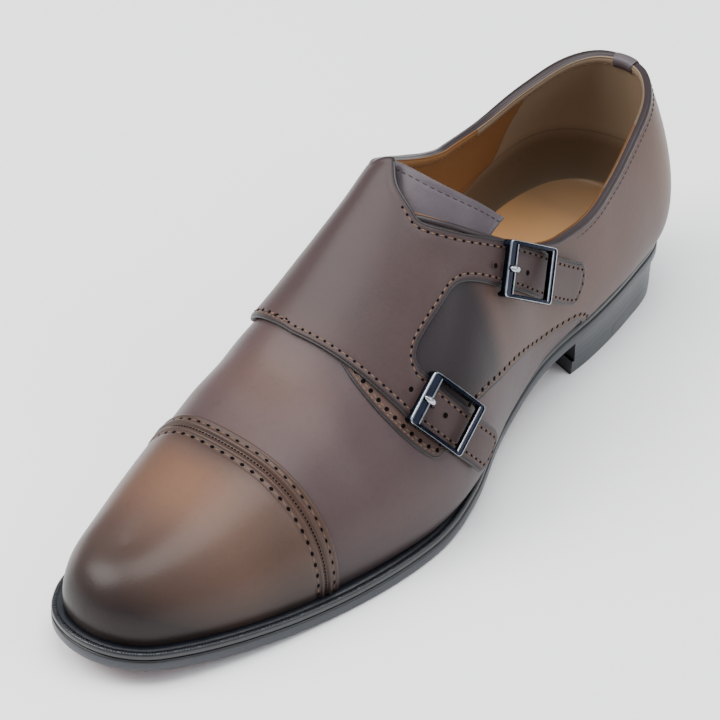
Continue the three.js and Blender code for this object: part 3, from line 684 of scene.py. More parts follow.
def inner_leather(name, front, grip, low):
    """Lining whose heel part is a separate, browner piece with its own seam, darker below its seat
    line, partly as painted shade.
    """
    m = Shader(name)
    cloud, fine = m.noise(30, 4, 0.6), m.noise(700, 3, 0.6)
    zone = m.attribute("grip")
    # Below the seat line the heel part turns darker, partly painted shade low in the heel cup.
    seat = m.math("MULTIPLY_ADD", m.attribute("seat"), -0.12, 0.4, clamp=True)
    heel = m.mix(seat, grip, low)
    colour = m.mix(m.math("MULTIPLY_ADD", zone, 4.0, 0.5, clamp=True), front, heel)
    seam = m.math("SUBTRACT", 1.0, m.math("ABSOLUTE", m.math("MULTIPLY", zone, 2.2)), clamp=True)
    line = m.math("SUBTRACT", 1.0, m.math("ABSOLUTE", m.math("MULTIPLY", m.attribute("seat"), 1.6)),
                  clamp=True)
    shade = m.math("MULTIPLY", m.math("MAXIMUM", seam, m.math("MULTIPLY", line, 0.6)), 0.6)
    colour = m.mix(shade, colour, rgb(52, 38, 26))
    colour = m.mix(m.math("MULTIPLY", cloud, 0.25), colour, low)
    return m.set(Base_Color=colour, Roughness=0.66, Normal=m.bump(fine, 0.0001, 0.4),
                 Specular_IOR_Level=0.25)


def sock_leather(name, back, front):
    m = Shader(name)
    cloud = m.noise(50, 4, 0.6)
    # Painted shade: the sock darkens towards the heel, deep in the cup.
    colour = m.mix(m.math("MULTIPLY_ADD", m.attribute("along"), 0.021, -0.55, clamp=True), back,
                   front)
    colour = m.mix(m.math("MULTIPLY", cloud, 0.2), colour, back)
    return m.set(Base_Color=colour, Roughness=0.5, Normal=m.bump(cloud, 0.0002, 0.3),
                 Specular_IOR_Level=0.3)


# Warm colour of the painted highlights.
PAINTED_HIGHLIGHT = rgb(108, 77, 58)
TAUPE, TAUPE_WARM, TAUPE_DARK = rgb(64, 52, 55), rgb(76, 60, 59), rgb(20, 16, 19)
UPPER = leather("upper_leather", TAUPE, TAUPE_WARM, TAUPE_DARK)
# The quarter's dark colour is bluish: it carries the painted shade and reflection between the
# straps.
QUARTER = leather("quarter_leather", rgb(67, 51, 47), rgb(86, 65, 58), rgb(15, 18, 26))
CAP = leather("cap_leather", rgb(71, 55, 50), rgb(88, 66, 55), rgb(30, 22, 21), 0.38, 0.08)
STRAP = leather("strap_leather", rgb(58, 45, 45), rgb(70, 54, 53), TAUPE_DARK, 0.44, 0.04)
TONGUE = leather("tongue_leather", rgb(72, 64, 70), rgb(92, 84, 88), TAUPE_DARK, 0.42, 0.1)
COLLAR = leather("collar_leather", rgb(40, 32, 34), rgb(52, 42, 43), rgb(20, 16, 18), 0.38, 0.15)
EDGE_DARK = plain("cut_edge", rgb(20, 16, 18), rgb(34, 27, 28), 0.45, 900)
LINING = inner_leather("lining_leather", rgb(126, 86, 50), rgb(136, 118, 98), rgb(100, 82, 64))
SOCK = sock_leather("sock_leather", rgb(122, 94, 66), rgb(206, 150, 92))
THREAD = plain("tan_thread", rgb(92, 73, 60), rgb(122, 98, 80), 0.8, 2500, 0.0002, shine=0.2)
THREAD_DARK = plain("dark_thread", rgb(30, 24, 26), rgb(56, 44, 42), 0.65, 2500, 0.0002)
# Painted shade: near-black discs and beads stand in for the depth of holes, pits and grooves.
PIT_SHADE = plain("pricked_hole_shade", rgb(6, 4, 5), rgb(14, 10, 11), 0.9, 2000, shine=0.05)
GUNMETAL = plain("gunmetal", rgb(20, 25, 36), rgb(36, 42, 54), 0.26, 300, 0.00002, 1.0)
# Bright metal for the prong, and as painted highlight on the frame's rims.
BRIGHT_METAL_AND_HIGHLIGHT = plain("bright_metal_and_painted_highlight", rgb(150, 154, 162), rgb(180, 183, 188), 0.2, 300, 0.00002, 1.0)
# Dark blue of the channels in the buckle's end bars.
RECESS_DARK = plain("recess_dark_blue", rgb(6, 16, 38), rgb(11, 25, 50), 0.22, 300, 0.00002, 0.6, 0.4)
SOLE_SIDE = plain("sole_edge_ink", rgb(5, 7, 12), rgb(12, 15, 22), 0.42, 260, 0.00012, 0, 0.05,
                  (1, 1, 9))
SOLE_BAND = plain("sole_edge_band", rgb(16, 21, 31), rgb(26, 32, 43), 0.4, 260, 0.00012, 0, 0.05,
                  (1, 1, 9))
SOLE_RED = sole_paint("sole_bottom_paint")
SOLE_CHANNEL = plain("sole_channel_thread", rgb(40, 8, 16), rgb(58, 16, 26), 0.5, 400)
WELT_INK = plain("welt_ink", rgb(6, 9, 15), rgb(14, 18, 27), 0.36, 500, 0.00015, 0, 0.1)
HEEL_INK = plain("heel_ink", rgb(26, 29, 34), rgb(43, 47, 53), 0.42, 700, 0.0001, 0, 0.1,
                 (3, 3, 0.25))
RUBBER = plain("heel_rubber", rgb(12, 12, 14), rgb(22, 22, 25), 0.75, 900, 0.0002)
RIM = plain("lift_edge_ink", rgb(8, 9, 12), rgb(18, 19, 23), 0.4, 600, 0.00008)
LIFT_RED = plain("top_lift_paint", rgb(84, 14, 32), rgb(104, 26, 46), 0.3, 60, 0.0001, 0, 0.4)
BRASS = plain("nail_metal", rgb(96, 80, 58), rgb(150, 128, 94), 0.35, 800, 0.00005, 1.0)
PLATE = plain("plate_metal", rgb(130, 130, 134), rgb(170, 170, 174), 0.28, 300, 0.00002, 1.0,
              0.0, (1, 14, 1))


# ------------------------------------------------------------------ small repeated things
def beads(name, centre, along, out, material, half, sections=6):
    """Many small rounded stitches as one mesh: half is (half length, half width, half height)."""
    centre, along, out = (np.asarray(v, float) for v in (centre, along, out))
    across = np.cross(out, along)
    rows, blunt = 5, 0.93
    u = np.linspace(-1, 1, rows)
    ring = np.sqrt(1 - (u * blunt) ** 2)
    t = np.linspace(0, 2 * math.pi, sections, endpoint=False)
    size = np.broadcast_to(np.asarray(half, float), (len(centre), 3))
    local = np.stack([np.repeat(u, sections),
                      np.outer(ring, np.cos(t)).ravel(), np.outer(ring, np.sin(t)).ravel()], 1)
    p = (centre[:, None] + along[:, None] * (local[None, :, 0] * size[:, :1])[..., None]
         + across[:, None] * (local[None, :, 1] * size[:, 1:2])[..., None]
         + out[:, None] * (local[None, :, 2] * size[:, 2:])[..., None])
    one = grid_faces(rows, sections, wrap=True)
    one += [list(range(sections))[::-1], list(range((rows - 1) * sections, rows * sections))]
    step = rows * sections
    faces = [[k + i * step for k in f] for i in range(len(centre)) for f in one]
    return make_object(name, p.reshape(-1, 3), faces, material)


def discs(name, centre, out, material, radius, sections=10):
    """Many small flat round spots as one mesh: three rings and a middle point each."""
    centre, out = np.asarray(centre, float), np.asarray(out, float)
    side = unit(np.cross(out, [0.31, 0.2, 0.93]))
    other = np.cross(out, side)
    t = np.linspace(0, 2 * math.pi, sections, endpoint=False)
    size = np.broadcast_to(np.reshape(radius, (-1, 1)), (len(centre), 1))
    rings = [centre[:, None] + out[:, None] * h
             + side[:, None] * (np.cos(t)[None] * size * r)[..., None]
             + other[:, None] * (np.sin(t)[None] * size * r)[..., None]
             for r, h in ((1.0, -0.08), (0.92, 0.0), (0.55, 0.0))]
    p = np.concatenate(rings + [centre[:, None]], 1)
    step = 3 * sections + 1
    faces = []
    for base in range(0, len(centre) * step, step):
        faces += grid_faces(3, sections, base, flip=True, wrap=True)
        faces += [[base + 2 * sections + k, base + 2 * sections + (k + 1) % sections,
                   base + step - 1] for k in range(sections)]
    return make_object(name, p.reshape(-1, 3), faces, material)


def walk(line, pitch, closed=False, start=0.5):
    """Indices, in fractions, of evenly spaced places on a line."""
    q = np.vstack([line, line[:1]]) if closed else line
    d = np.concatenate([[0], np.cumsum(np.linalg.norm(np.diff(q, axis=0), axis=1))])
    n = max(int(d[-1] / pitch), 1)
    return np.interp((np.arange(n) + start) * d[-1] / n, d, np.arange(len(d)))


def between(line, k):
    """Row before each place, share of the step to it, the place itself and the step's direction."""
    i = np.minimum(k.astype(int), len(line) - 2)
    f = (k - i)[:, None]
    return i, f, line[i] * (1 - f) + line[i + 1] * f, line[i + 1] - line[i]


def on_leather(path, turn, lift, top):
    """Points, directions and normals on the leather along a pattern-space path."""
    point, da, dg, normal = pattern_frame(path[:, 0], path[:, 1])
    height = lift + top(path[:, 0], path[:, 1]) + creases(point)
    return (point + normal * height[:, None], unit(da * turn[:, :1] + dg * turn[:, 1:]), normal)


def at_steps(path, pitch, start):
    """Pattern-space places spaced evenly in real millimetres along a path, with directions."""
    path = resample(path, 0.5, False)
    point = pattern_frame(path[:, 0], path[:, 1])[0]
    return between(path, walk(point, pitch, False, start))[2:]


def stitches(name, path, material, pitch, half, lift, top, start=0.5):
    return beads(name, *on_leather(*at_steps(path, pitch, start), lift, top), material, half)


# Dark discs of painted shade stand in for the holes.
def holes(name, path, pitch, radius, lift, top):
    centre, _, normal = on_leather(*at_steps(path, pitch, 0.0), lift, top)
    return discs(name, centre, normal, PIT_SHADE, radius)


def cord(name, path, radius, top):
    """A thin painted edge that follows a path on the leather."""
    path = resample(path, 1.0, False)
    point, along, normal = on_leather(path, np.gradient(path, axis=0), 0.0, top)
    across = np.cross(normal, along)
    sides = 7
    w = np.linspace(0, 2 * math.pi, sides, endpoint=False)
    ring = (point[:, None] + across[:, None] * (np.cos(w) * radius)[None, :, None]
            + normal[:, None] * (np.sin(w) * radius)[None, :, None])
    return make_object(name, ring.reshape(-1, 3), grid_faces(len(path), sides, wrap=True),
                       EDGE_DARK)


def part_of(loop, start, end):
    """The run of a loop from the point nearest start to the point nearest end."""
    i = int(np.argmin(np.linalg.norm(loop - pattern([start])[0], axis=1)))
    j = int(np.argmin(np.linalg.norm(loop - pattern([end])[0], axis=1)))
    return np.roll(loop, -i, 0)[:((j - i) % len(loop)) + 1]


# ------------------------------------------------------------------ the upper and its lining
def shell_rows(back_count, front_count, edge, power, end):
    """Stations that lie closer together at the heel and at the toe."""
    t = np.linspace(0, math.pi / 2, back_count)
    back = edge.start + (THROAT - edge.start) * (1 - np.cos(t)) ** power
    front = THROAT + (end - THROAT) * np.sin(np.linspace(0, math.pi / 2, front_count))
    return np.concatenate([back[:-1], front])


def upper_shell():
    """The whole upper below its panels, from the heel to the toe and up to the topline."""
    edge = feather(0)
    back_count, front_count, columns = 127, 190, 64
    rows = shell_rows(back_count, front_count, edge, 0.9, edge.end)
    grids = {}
    for side in (1, -1):
        s = rows[:, None]
        t = np.linspace(0, 1, columns)[None]
        p = last_point(s + 0 * t, side, topline_rise(s, side) * t)
        n = skin_normal(p, side)
        n[:, -1] *= (0, 1, 1)
        grids[side] = p + n * creases(p)[..., None]
        grids[side][:, 0, 2] -= TUCK
    points, faces = both_sides(grids)
    piece = make_object("upper_leather_base", points, faces, UPPER, weld=True,
                        attributes=leather_data(len(points), 8.0, burnish_and_shade(points), painted_highlight_at(points)))
    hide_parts("upper")


# Cap band, millimetres from its vamp edge: where the leather stands and how high.
BAND = np.array([
    (0.0, -0.2), (0.05, 0.35), (0.35, 0.85), (0.8, 0.98), (1.2, 0.92), (1.45, 0.66), (2.7, 0.66),
    (2.95, 1.1), (3.5, 1.4), (4.1, 1.15), (4.6, 0.5), (5.2, 0.3), (5.8, 0.55), (6.3, 1.2),
    (6.8, 1.35), (7.3, 1.05), (7.55, 0.66), (9.25, 0.66), (9.6, 0.9), (10.5, 1.0), (14.0, 1.05),
    (80.0, 1.05)])
BAND_START = 226.0
PIT_ROW, DASH_ROW, GROOVE_ROW, CAP_PITCH = 8.4, 2.1, 5.1, 4.2
cap_height = table(BAND[:, 0], BAND[:, 1])


def cap_skin():
    """Grids of points, normals and distances from the vamp edge, for each side of the cap."""
    end, columns, blend_columns, passes = feather(0).end, 84, 13, 70
    near = BAND_START + np.arange(0, 13, 0.22)
    far = near[-1] + (end - near[-1]) * np.sin(np.linspace(0, math.pi / 2, 64))
    rows = np.concatenate([near[:-1], far])
    skin = {}
    for side in (1, -1):
        rise = np.linspace(0, 1, columns)[None] + 0 * rows[:, None]
        p = last_point(rows[:, None] + 0 * rise, side, rise)
        step = np.linalg.norm(np.diff(p, axis=0), axis=-1)
        d = np.vstack([np.zeros((1, columns)), np.cumsum(step, 0)])
        n = skin_normal(p, side)
        skin[side] = (p + n * cap_height(d)[..., None], n, d)
    # The two halves are smoothed into each other over the ridge.
    whole = np.concatenate([skin[1][0], skin[-1][0][:, -2::-1]], 1)
    whole[:, columns - 1] = (skin[1][0][:, -1] + skin[-1][0][:, -1]) / 2
    from_ridge = (np.arange(2 * columns - 1) - columns + 1) / blend_columns
    share = np.exp(-(from_ridge ** 2))[None, :, None] / 4
    for _ in range(passes):
        whole += (np.roll(whole, 1, 1) + np.roll(whole, -1, 1) - 2 * whole) * share
    return {1: (whole[:, :columns], *skin[1][1:]),
            -1: (whole[:, :columns - 2:-1], *skin[-1][1:])}


def across_cap(skin, at, pitch, start):
    """Evenly spaced points on a line across the whole cap, at a distance from its vamp edge."""
    lines = []
    for k in (0, 1):
        half = {side: np.array([[np.interp(at, skin[side][2][:, j], skin[side][k][:, j, axis])
                                 for axis in range(3)] for j in range(skin[side][2].shape[1])])
                for side in (1, -1)}
        lines.append(np.vstack([half[1], half[-1][::-1][1:]]))
    p, n = lines
    i, f, point, ahead = between(p, walk(p, pitch, False, start))
    return point, unit(ahead), unit(n[i] * (1 - f) + n[i + 1] * f)


def toe_cap():
    """The straight cap, with the rows of holes and stitches along its folded edge."""
    skin = cap_skin()
    grids = {side: skin[side][0].copy() for side in (1, -1)}
    for p in grids.values():
        p[:, 0, 2] -= TUCK
    points, faces = both_sides(grids)
    band = np.concatenate([skin[1][2].ravel(), skin[-1][2].ravel()])
    # Darker over the band; the cap's painted highlight stays off it.
    dark = np.maximum(burnish_and_shade(points), 0.35 * (1 - smooth(band, 9, 14)))
    painted_highlight = painted_highlight_at(points) * smooth(band, 9, 20)
    piece = make_object("toe_cap_leather", points, faces, CAP, weld=True,
                        attributes=leather_data(len(points), 8.0, dark, painted_highlight))
    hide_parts("toe_cap")
    # The pits, groove marks and back dashes are dark beads of painted shade standing in for holes.
    for name, at, pitch, start, material, half, sections in (
            ("cap_pits", PIT_ROW, CAP_PITCH, 0.5, PIT_SHADE, (0.8, 0.62, 0.08), 8),
            ("cap_row_front", PIT_ROW, CAP_PITCH, 0.0, THREAD, (0.8, 0.22, 0.16), 6),
            ("cap_groove_marks", GROOVE_ROW, 1.4, 0.5, PIT_SHADE, (0.5, 0.5, 0.06), 6),
            ("cap_row_back", DASH_ROW, CAP_PITCH, 0.2, PIT_SHADE, (0.75, 0.45, 0.08), 6),
            ("cap_row_back_thread", DASH_ROW, CAP_PITCH, 0.7, THREAD, (0.8, 0.2, 0.14), 6)):
        beads(name, *across_cap(skin, at, pitch, start), material, half, sections)


# ------------------------------------------------------------------ panels
def strap_edges(centres, half):
    """The two long edges of a strap, square to its centre line, as (station, girth) rows."""
    c = np.asarray(centres, float)
    back, front = [], []
    for k in range(len(c)):
        _, da, dg, _ = pattern_frame(a_of(c[k, 0]), c[k, 1])
        ahead = c[min(k + 1, len(c) - 1)] - c[max(k - 1, 0)]
        ds = da * (a_of(c[k, 0] + 0.5) - a_of(c[k, 0] - 0.5))
        forward = ds * ahead[0] + dg * ahead[1]
        forward /= np.linalg.norm(forward)
        step = np.array([dg @ forward, -(ds @ forward)])
        step /= np.linalg.norm(ds * step[0] + dg * step[1])
        step *= np.sign(step[0])
        back.append(c[k] - half * step)
        front.append(c[k] + half * step)
    return np.array(back), np.array(front)


# Centre lines of the two straps, as (station, girth) points, and half their width.
UPPER_CENTRES = [(131, 53), (124, 60), (115.5, 67), (106, 74), (96, 80), (87.5, 84.5)]
LOWER_CENTRES = [(179.2, 50), (176.5, 58), (173, 67), (168.5, 77), (163, 88), (158, 98)]
HALF = 7.3


def rounded_end(back, front, corner=3.8):
    """The far end of a strap with softened corners, from its back edge to its front edge."""
    b, f = back[-1], front[-1]
    ahead_b, ahead_f, across = unit(b - back[-2]), unit(f - front[-2]), unit(f - b)
    near, far = [], []
    for w in np.linspace(0, math.pi / 2, 5):
        pull, slide = corner * (1 - math.sin(w)), corner * (1 - math.cos(w))
        near.append(b - ahead_b * pull + across * slide)
        far.append(f - ahead_f * pull - across * slide)
    return np.array(near + [(b + f) / 2 + (ahead_b + ahead_f) * 0.4] + far[::-1])


def strap_top(a, g):
    """Height of the flap's and straps' top above the last, falling into the quarter inside."""
    s = s_of(a)
    upper_tail = 2.8 * smooth(126 - s, 0, 20) * smooth(g, 44, 54) * (1 - smooth(s, 140, 146))
    lower_tail = 0.9 * smooth(g, 76, 100) * smooth(s, 140, 148)
    return 0.75 + (2.2 - 0.75) * smooth(g, -74, -40) + upper_tail + lower_tail


def top_edge_run(side, start, end, count):
    """Run of a panel's outline along the topline."""
    s = np.linspace(start, end, count)
    return np.stack([s, side * top_girth(s, side, TOP_DROP)], 1)


def foot_run(side, start, end):
    """Run of a panel's outline just above the welt."""
    s = np.linspace(start, end, 30)
    return np.stack([s, side * (foot_girth(a_of(s), side) - FOOT_GAP)], 1)


# Front seams of the outer quarter and of the flap's side, as (station, girth) points.
LATERAL_SEAM = [(74.5, 114), (77.8, 108.2), (83.6, 104.2), (91, 102.4), (101, 101), (113, 99.6),
                (125, 96.2), (138, 88.8), (152, 80), (162, 75.4), (171, 73.6), (180.6, 71.2),
                (184.5, 65.4), (188.6, 55.4), (191.2, 44.4), (191.9, 35.7), (190.9, 25.5),
                (186.5, 14), (178, 4)]
MEDIAL_SEAM = [(190, 0), (188.6, -12), (184.3, -27), (176, -42), (164, -55), (148, -66), (130, -76),
               (112, -86), (98, -96), (88, -106), (81, -116)]


def offset_run(path, amount):
    """An open pattern-space run moved to its left, in real millimetres."""
    path = resample(path, 1.0, False)
    _, da, dg, _ = pattern_frame(path[:, 0], path[:, 1])
    turn = np.gradient(path, axis=0)
    along = unit(da * turn[:, :1] + dg * turn[:, 1:])
    step = np.stack([(dg * along).sum(1), -(da * along).sum(1)], 1)
    real = np.linalg.norm(da * step[:, :1] + dg * step[:, 1:], axis=1)
    return path + step / real[:, None] * amount


def seam_rows(label, seam, hole_radius, lift, top, cord_height=None):
    """Holes, the threads between them and a closer row of stitches along a seam, with a cord."""
    inner, front = offset_run(seam, 2.4), offset_run(seam, 1.3)
    holes(label + "_holes", inner, 3.9, hole_radius, 0.03, top)
    if cord_height is not None:
        cord(label + "_edge", seam, 0.4, lambda a, g: cord_height + 0 * a)
    stitches(label + "_threads", inner, THREAD, 3.9, (0.75, 0.24, 0.2), lift, top)
    stitches(label + "_edge_threads", front, THREAD, 1.95, (0.6, 0.2, 0.16), 0.0, top)


def lateral_quarter():
    """The outer quarter, with the stitched seam along its front."""
    seam = spline(LATERAL_SEAM, closed=False, steps=8)
    seam[:, 1] = np.minimum(seam[:, 1], foot_girth(a_of(seam[:, 0]), 1) - FOOT_GAP)
    back = START + 0.02
    runs = [top_edge_run(1, 150.4, back, 80), foot_run(1, back, seam[0, 0]), seam]
    runs.insert(1, np.array([runs[0][-1], (back, foot_girth(0, 1) - FOOT_GAP)]))
    top = lambda a, g: 0.7 + 0 * a
    piece, _ = leather_panel("lateral_quarter", runs, top, QUARTER, 2.2, 1.0, (), 0.5,
                             shade=inset_painted_shade)
    seam_rows("quarter", pattern(seam), 0.85, 0.06, top, 0.3)


def flap_outline():
    ub, uf = strap_edges(UPPER_CENTRES, HALF)
    lb, lf = strap_edges(LOWER_CENTRES, HALF)
    top = np.vstack([(135.6, 0), (141.6, 6.2), (144.8, 14.5), (146.0, 19.6), (142.3, 28.3),
                     (136.2, 37.6), ub[0]])
    fork_top = np.array([uf[0], (143.5, 46.6), (147.3, 43.0), (151.0, 41.2), (157.6, 40.6),
                         (165.0, 39.8), (170.2, 39.8), (173.2, 41.6), (174.2, 45.5)])
    front = np.array([lf[0], (187.6, 38), (188.9, 26), (189.6, 12), (190, 0)])
    seam = spline(MEDIAL_SEAM, closed=False, steps=8)
    seam[:, 1] = np.maximum(seam[:, 1], -(foot_girth(a_of(seam[:, 0]), -1) - FOOT_GAP))
    back = START + 0.02
    inner_top = top_edge_run(-1, back, 137.5, 70)
    upper_end, lower_end = rounded_end(ub, uf), rounded_end(lb, lf)
    return [top, np.vstack([ub[:-1], upper_end[0]]), upper_end,
            np.vstack([upper_end[-1], uf[-2::-1]]), fork_top,
            np.vstack([fork_top[-1], lb[1:-1], lower_end[0]]), lower_end,
            np.vstack([lower_end[-1], lf[-2::-1]]), front, seam,
            foot_run(-1, seam[-1, 0], back)[1:],
            np.array([(back, -(foot_girth(0, -1) - FOOT_GAP)), inner_top[0]]), inner_top,
            np.array([inner_top[-1], (135.6, 0)])]


def flap():
    """The inner quarter, which runs over the instep and ends in the two straps."""
    piece, loop = leather_panel("medial_quarter_and_straps", flap_outline(), strap_top, STRAP,
                                1.8, 0.8, (1.7,), 0.7, 0.16, 1.5)
    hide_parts("strap_flap")
    edge = part_of(loop, (136.4, 1.2), (83, -112))
    cord("flap_edge", edge, 0.5, lambda a, g: strap_top(a, g) - 0.85)
    stitched = part_of(inset_outline(loop, 1.7), (141.5, 14), (188.4, -12))
    stitches("flap_threads", stitched, THREAD, 3.0, (0.8, 0.25, 0.2), -0.04, strap_top)
    holes("flap_thread_ends", stitched, 3.0, 0.5, 0.0, strap_top)
    seam_rows("medial", part_of(loop, (189.5, -4), (83, -112)), 0.6, 0.05, strap_top)


# ------------------------------------------------------------------ collar, lining, tongue
def collar_frames(side, stations):
    """Point on the topline, direction down the skin and outward normal."""
    rise = topline_rise(stations, side)
    p = last_point(stations, side, rise)
    low = last_point(stations, side, rise - 0.03)
    forward = unit(np.gradient(p, axis=0))
    out = unit(np.cross(unit(low - p), forward) * side)
    if out[len(out) // 2][0] * side < 0:
        out = -out
    down = np.cross(forward, out)
    return p, down * np.sign((down * (low - p)).sum(1))[:, None], out


# Section of the collar's edge: down the skin and outwards; from row 9 on it is lining.
ROLL = [(2.0, 0.5), (1.8, 0.92), (1.2, 1.08), (0.5, 1.06), (-0.05, 0.8), (-0.35, 0.35),
        (-0.4, -0.2), (-0.15, -0.5), (-0.28, -0.85), (-0.2, -1.5), (0.15, -2.1), (0.8, -2.5),
        (2.2, -2.55), (3.2, -2.3)]
ROLL_LINING = 9


# Stitches along a row of points, with the outward direction at each point.
def row_of_beads(name, line, out, pitch, material, half, lift=0.0):
    i, _, point, ahead = between(line, walk(line, pitch))
    return beads(name, point + out[i] * lift, unit(ahead), out[i], material, half)


def collar():
    """Rolled edge of the mouth, with a row of stitches outside and one inside."""
    edge = feather(0)
    t = np.linspace(0, 1, 170)
    rings = []
    for side, label in ((1, "outer"), (-1, "inner")):
        end = THROATS[side] - 0.8
        stations = edge.start + 0.05 + (end - edge.start) * (1 - np.cos(t * math.pi / 2)) ** 0.9
        p, down, out = collar_frames(side, stations)
        ring = np.stack([p + down * d + out * o for d, o in ROLL], 1)
        rings.append(ring if side > 0 else ring[::-1])
        row_of_beads("collar_threads_" + label, p + down * 3.6 + out * 0.74, out, 2.6,
                             THREAD_DARK, (0.9, 0.3, 0.2))
        row_of_beads("lining_threads_" + label, p + down * 2.6 - out * 2.6, -out, 2.6,
                             THREAD, (0.8, 0.2, 0.14))
    path = np.concatenate([rings[1], rings[0][1:]])
    faces = grid_faces(len(path), len(ROLL))
    count = path.size // 3
    station = shoe_axes(path)[0]
    limit = np.where(path[:, 0, 0] > SHIFT[0], 100, THROAT - 6)
    lined = (station[:, 0] < limit)[:-1, None] & (np.arange(len(ROLL) - 1) >= ROLL_LINING)[None]
    material_of = lined.astype(int).ravel().tolist()
    piece = make_object("collar_binding", path.reshape(-1, 3), faces, [COLLAR, LINING], True,
                        leather_data(count, 8.0, 0.1, grip=60.0 - station.ravel(), seat=20.0),
                        material_of)


def heel_tab():
    """Short folded leather over the back of the collar."""
    a = np.linspace(0.4, 8.0, 14)
    ease = np.sqrt(np.clip(1 - (a / 8.3) ** 8, 0, 1))[:, None]
    profile = [(6.2, 0.5), (6.0, 1.15), (4.5, 1.4), (2.0, 1.5), (0.5, 1.5), (-0.4, 1.15),
               (-0.85, 0.4), (-0.95, -0.7), (-0.75, -1.8), (-0.2, -2.7), (1.2, -3.05),
               (3.4, -2.95), (3.7, -2.4)]
    rings = []
    for side in (1, -1):
        p, down, out = collar_frames(side, s_of(a))
        ring = np.stack([p + down * (2.0 + (d - 2.0) * (0.9 + 0.1 * ease))
                         + out * ((o + 0.8) * (0.85 + 0.15 * ease) - 0.8) for d, o in profile], 1)
        rings.append(ring if side > 0 else ring[::-1])
    path = np.concatenate([rings[1], rings[0]])
    edge = np.full(path.shape[:2], 0.2)
    edge[1:-1, 1:-1] = 8.0
    piece = make_object("heel_tab", path.reshape(-1, 3), grid_faces(*path.shape[:2]), TONGUE, True,
                        leather_data(edge.size, edge.ravel(), 0.1))


# Heel part of the lining, as (station, height) corners.
GRIP_ZONE = np.array([(-20, 200), (24, 95), (30, 80), (33.5, 69), (36.7, 60), (39, 51.5),
                      (42, 47.6), (52, 46), (63, 45), (72, 34), (74, -10), (-20, -10)], float)


def lining():
    """Inside of the upper, with the distances its material needs to colour the heel part."""
    edge = feather(WALL)
    back_count, front_count, columns = 150, 60, 60
    rows = shell_rows(back_count, front_count, edge, 1, edge.end - 0.2)
    grids, grip, seat_at = {}, [], []
    for side in (1, -1):
        t = np.linspace(0, 1, columns)[None]
        rise = topline_rise(rows[:, None], side, WALL) * t
        grids[side] = last_point(rows[:, None] + 0 * t, side, rise, WALL)
        flat = np.stack([np.repeat(rows, columns), grids[side][..., 2].ravel()], 1)
        far = edge_distance(flat, GRIP_ZONE)
        grip.append(np.where(inside(flat, GRIP_ZONE), far, -far))
        seat_at.append(flat[:, 1] - (47.5 + 3.0 * np.sin(np.clip(flat[:, 0] / 40, 0, 1) * math.pi)))
    points, faces = both_sides(grids, True)
    piece = make_object("quarter_lining", points, faces, LINING, True,
                        {"grip": np.concatenate(grip), "seat": np.concatenate(seat_at)})


def sock():
    edge = feather(WALL + 0.2)
    rows = edge.start + (edge.end - edge.start) * eased(130)
    columns = 26
    share = np.linspace(0, 1, columns)[None]
    inner, outer = edge.across(rows, -1)[:, None], edge.across(rows, 1)[:, None]
    cup = 1.6 * np.abs(2 * share - 1) ** 3
    p = place(rows[:, None] + 0 * share, inner + (outer - inner) * share,
              (feather_height(rows) + 2.0)[:, None] + cup)
    piece = make_object("sock", p.reshape(-1, 3), grid_faces(len(rows), columns), SOCK, True,
                        {"along": np.repeat(rows, columns)})
    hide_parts("insole")


def tongue():
    """A bent sheet under the flap, thinned at its rounded top edge and stitched along it."""
    top, thick, front, round_over = WALL + 1.1, 1.6, 188, 0.7
    v = np.linspace(0.5, 1, 30)
    u = np.concatenate([np.linspace(0, 0.12, 14)[:-1], np.linspace(0.12, 1, 36)])
    back = THROAT - 5.5 - 103 * (1 - v) ** 2.45
    s = back[None] + (front - back[None]) * u[:, None]
    d = s - back[None]
    rounding = round_over - np.sqrt(round_over ** 2 - np.maximum(round_over - d, 0) ** 2)
    groove = 0.14 * np.exp(-((d - 2.6) / 0.4) ** 2)
    halves = {}
    for side in (1, -1):
        outer, inner = (last_point(s, side, v[None], depth) for depth in (top, top + thick))
        n = unit(outer - inner)
        halves[side] = (outer - n * (rounding + groove)[..., None], inner + n * rounding[..., None],
                        n)
    outer, inner, normal = (np.concatenate([a, b[:, -2::-1]], 1)
                            for a, b in zip(halves[1], halves[-1]))
    rows, columns = outer.shape[:2]
    count = rows * columns
    faces = grid_faces(rows, columns, flip=True) + grid_faces(rows, columns, count)
    material_of = [0] * (len(faces) // 2) + [1] * (len(faces) // 2)
    index = np.arange(count).reshape(rows, columns)
    ring = np.concatenate([index[0], index[1:, -1], index[-1, -2::-1], index[-2:0:-1, 0]]).tolist()
    for a, b in zip(ring, ring[1:] + ring[:1]):
        faces.append([a, a + count, b + count, b])
        material_of.append(2)
    piece = make_object("tongue_leather", np.vstack([outer.reshape(-1, 3), inner.reshape(-1, 3)]),
                        faces, [TONGUE, LINING, EDGE_DARK], True,
                        leather_data(2 * count, grip=-8.0, seat=20.0), material_of)
    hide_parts("tongue")
    row = int(np.argmin(np.abs(u * 60 - 2.6)))
    row_of_beads("tongue_threads", outer[row], normal[row], 2.8, THREAD_DARK,
                         (0.9, 0.22, 0.18), 0.08)


# ------------------------------------------------------------------ sole, welt and heel
SOLE_RING = resample(EDGE, 1.0)
SOLE_OUT = -inward(SOLE_RING)
FACE_DOWN = [0.0, 0.0, -1.0]
CHANNEL_START = 498       # point of the outline at which the channel's row begins, at the toe


def sweep_ring(name, profile, material, face_material=(0,)):
    """The sole's outline swept by (outward, up) steps over the rise of the sole."""
    rows = []
    for push, rise in profile:
        q = SOLE_RING + SOLE_OUT * push
        rows.append(place(q[:, 0], q[:, 1], sole_rise(q[:, 0]) + rise))
    p = np.stack(rows, 1)
    faces = grid_faces(*p.shape[:2], close=True)
    return make_object(name, p.reshape(-1, 3), faces, material, True, {},
                       np.resize(face_material, len(faces)).tolist())


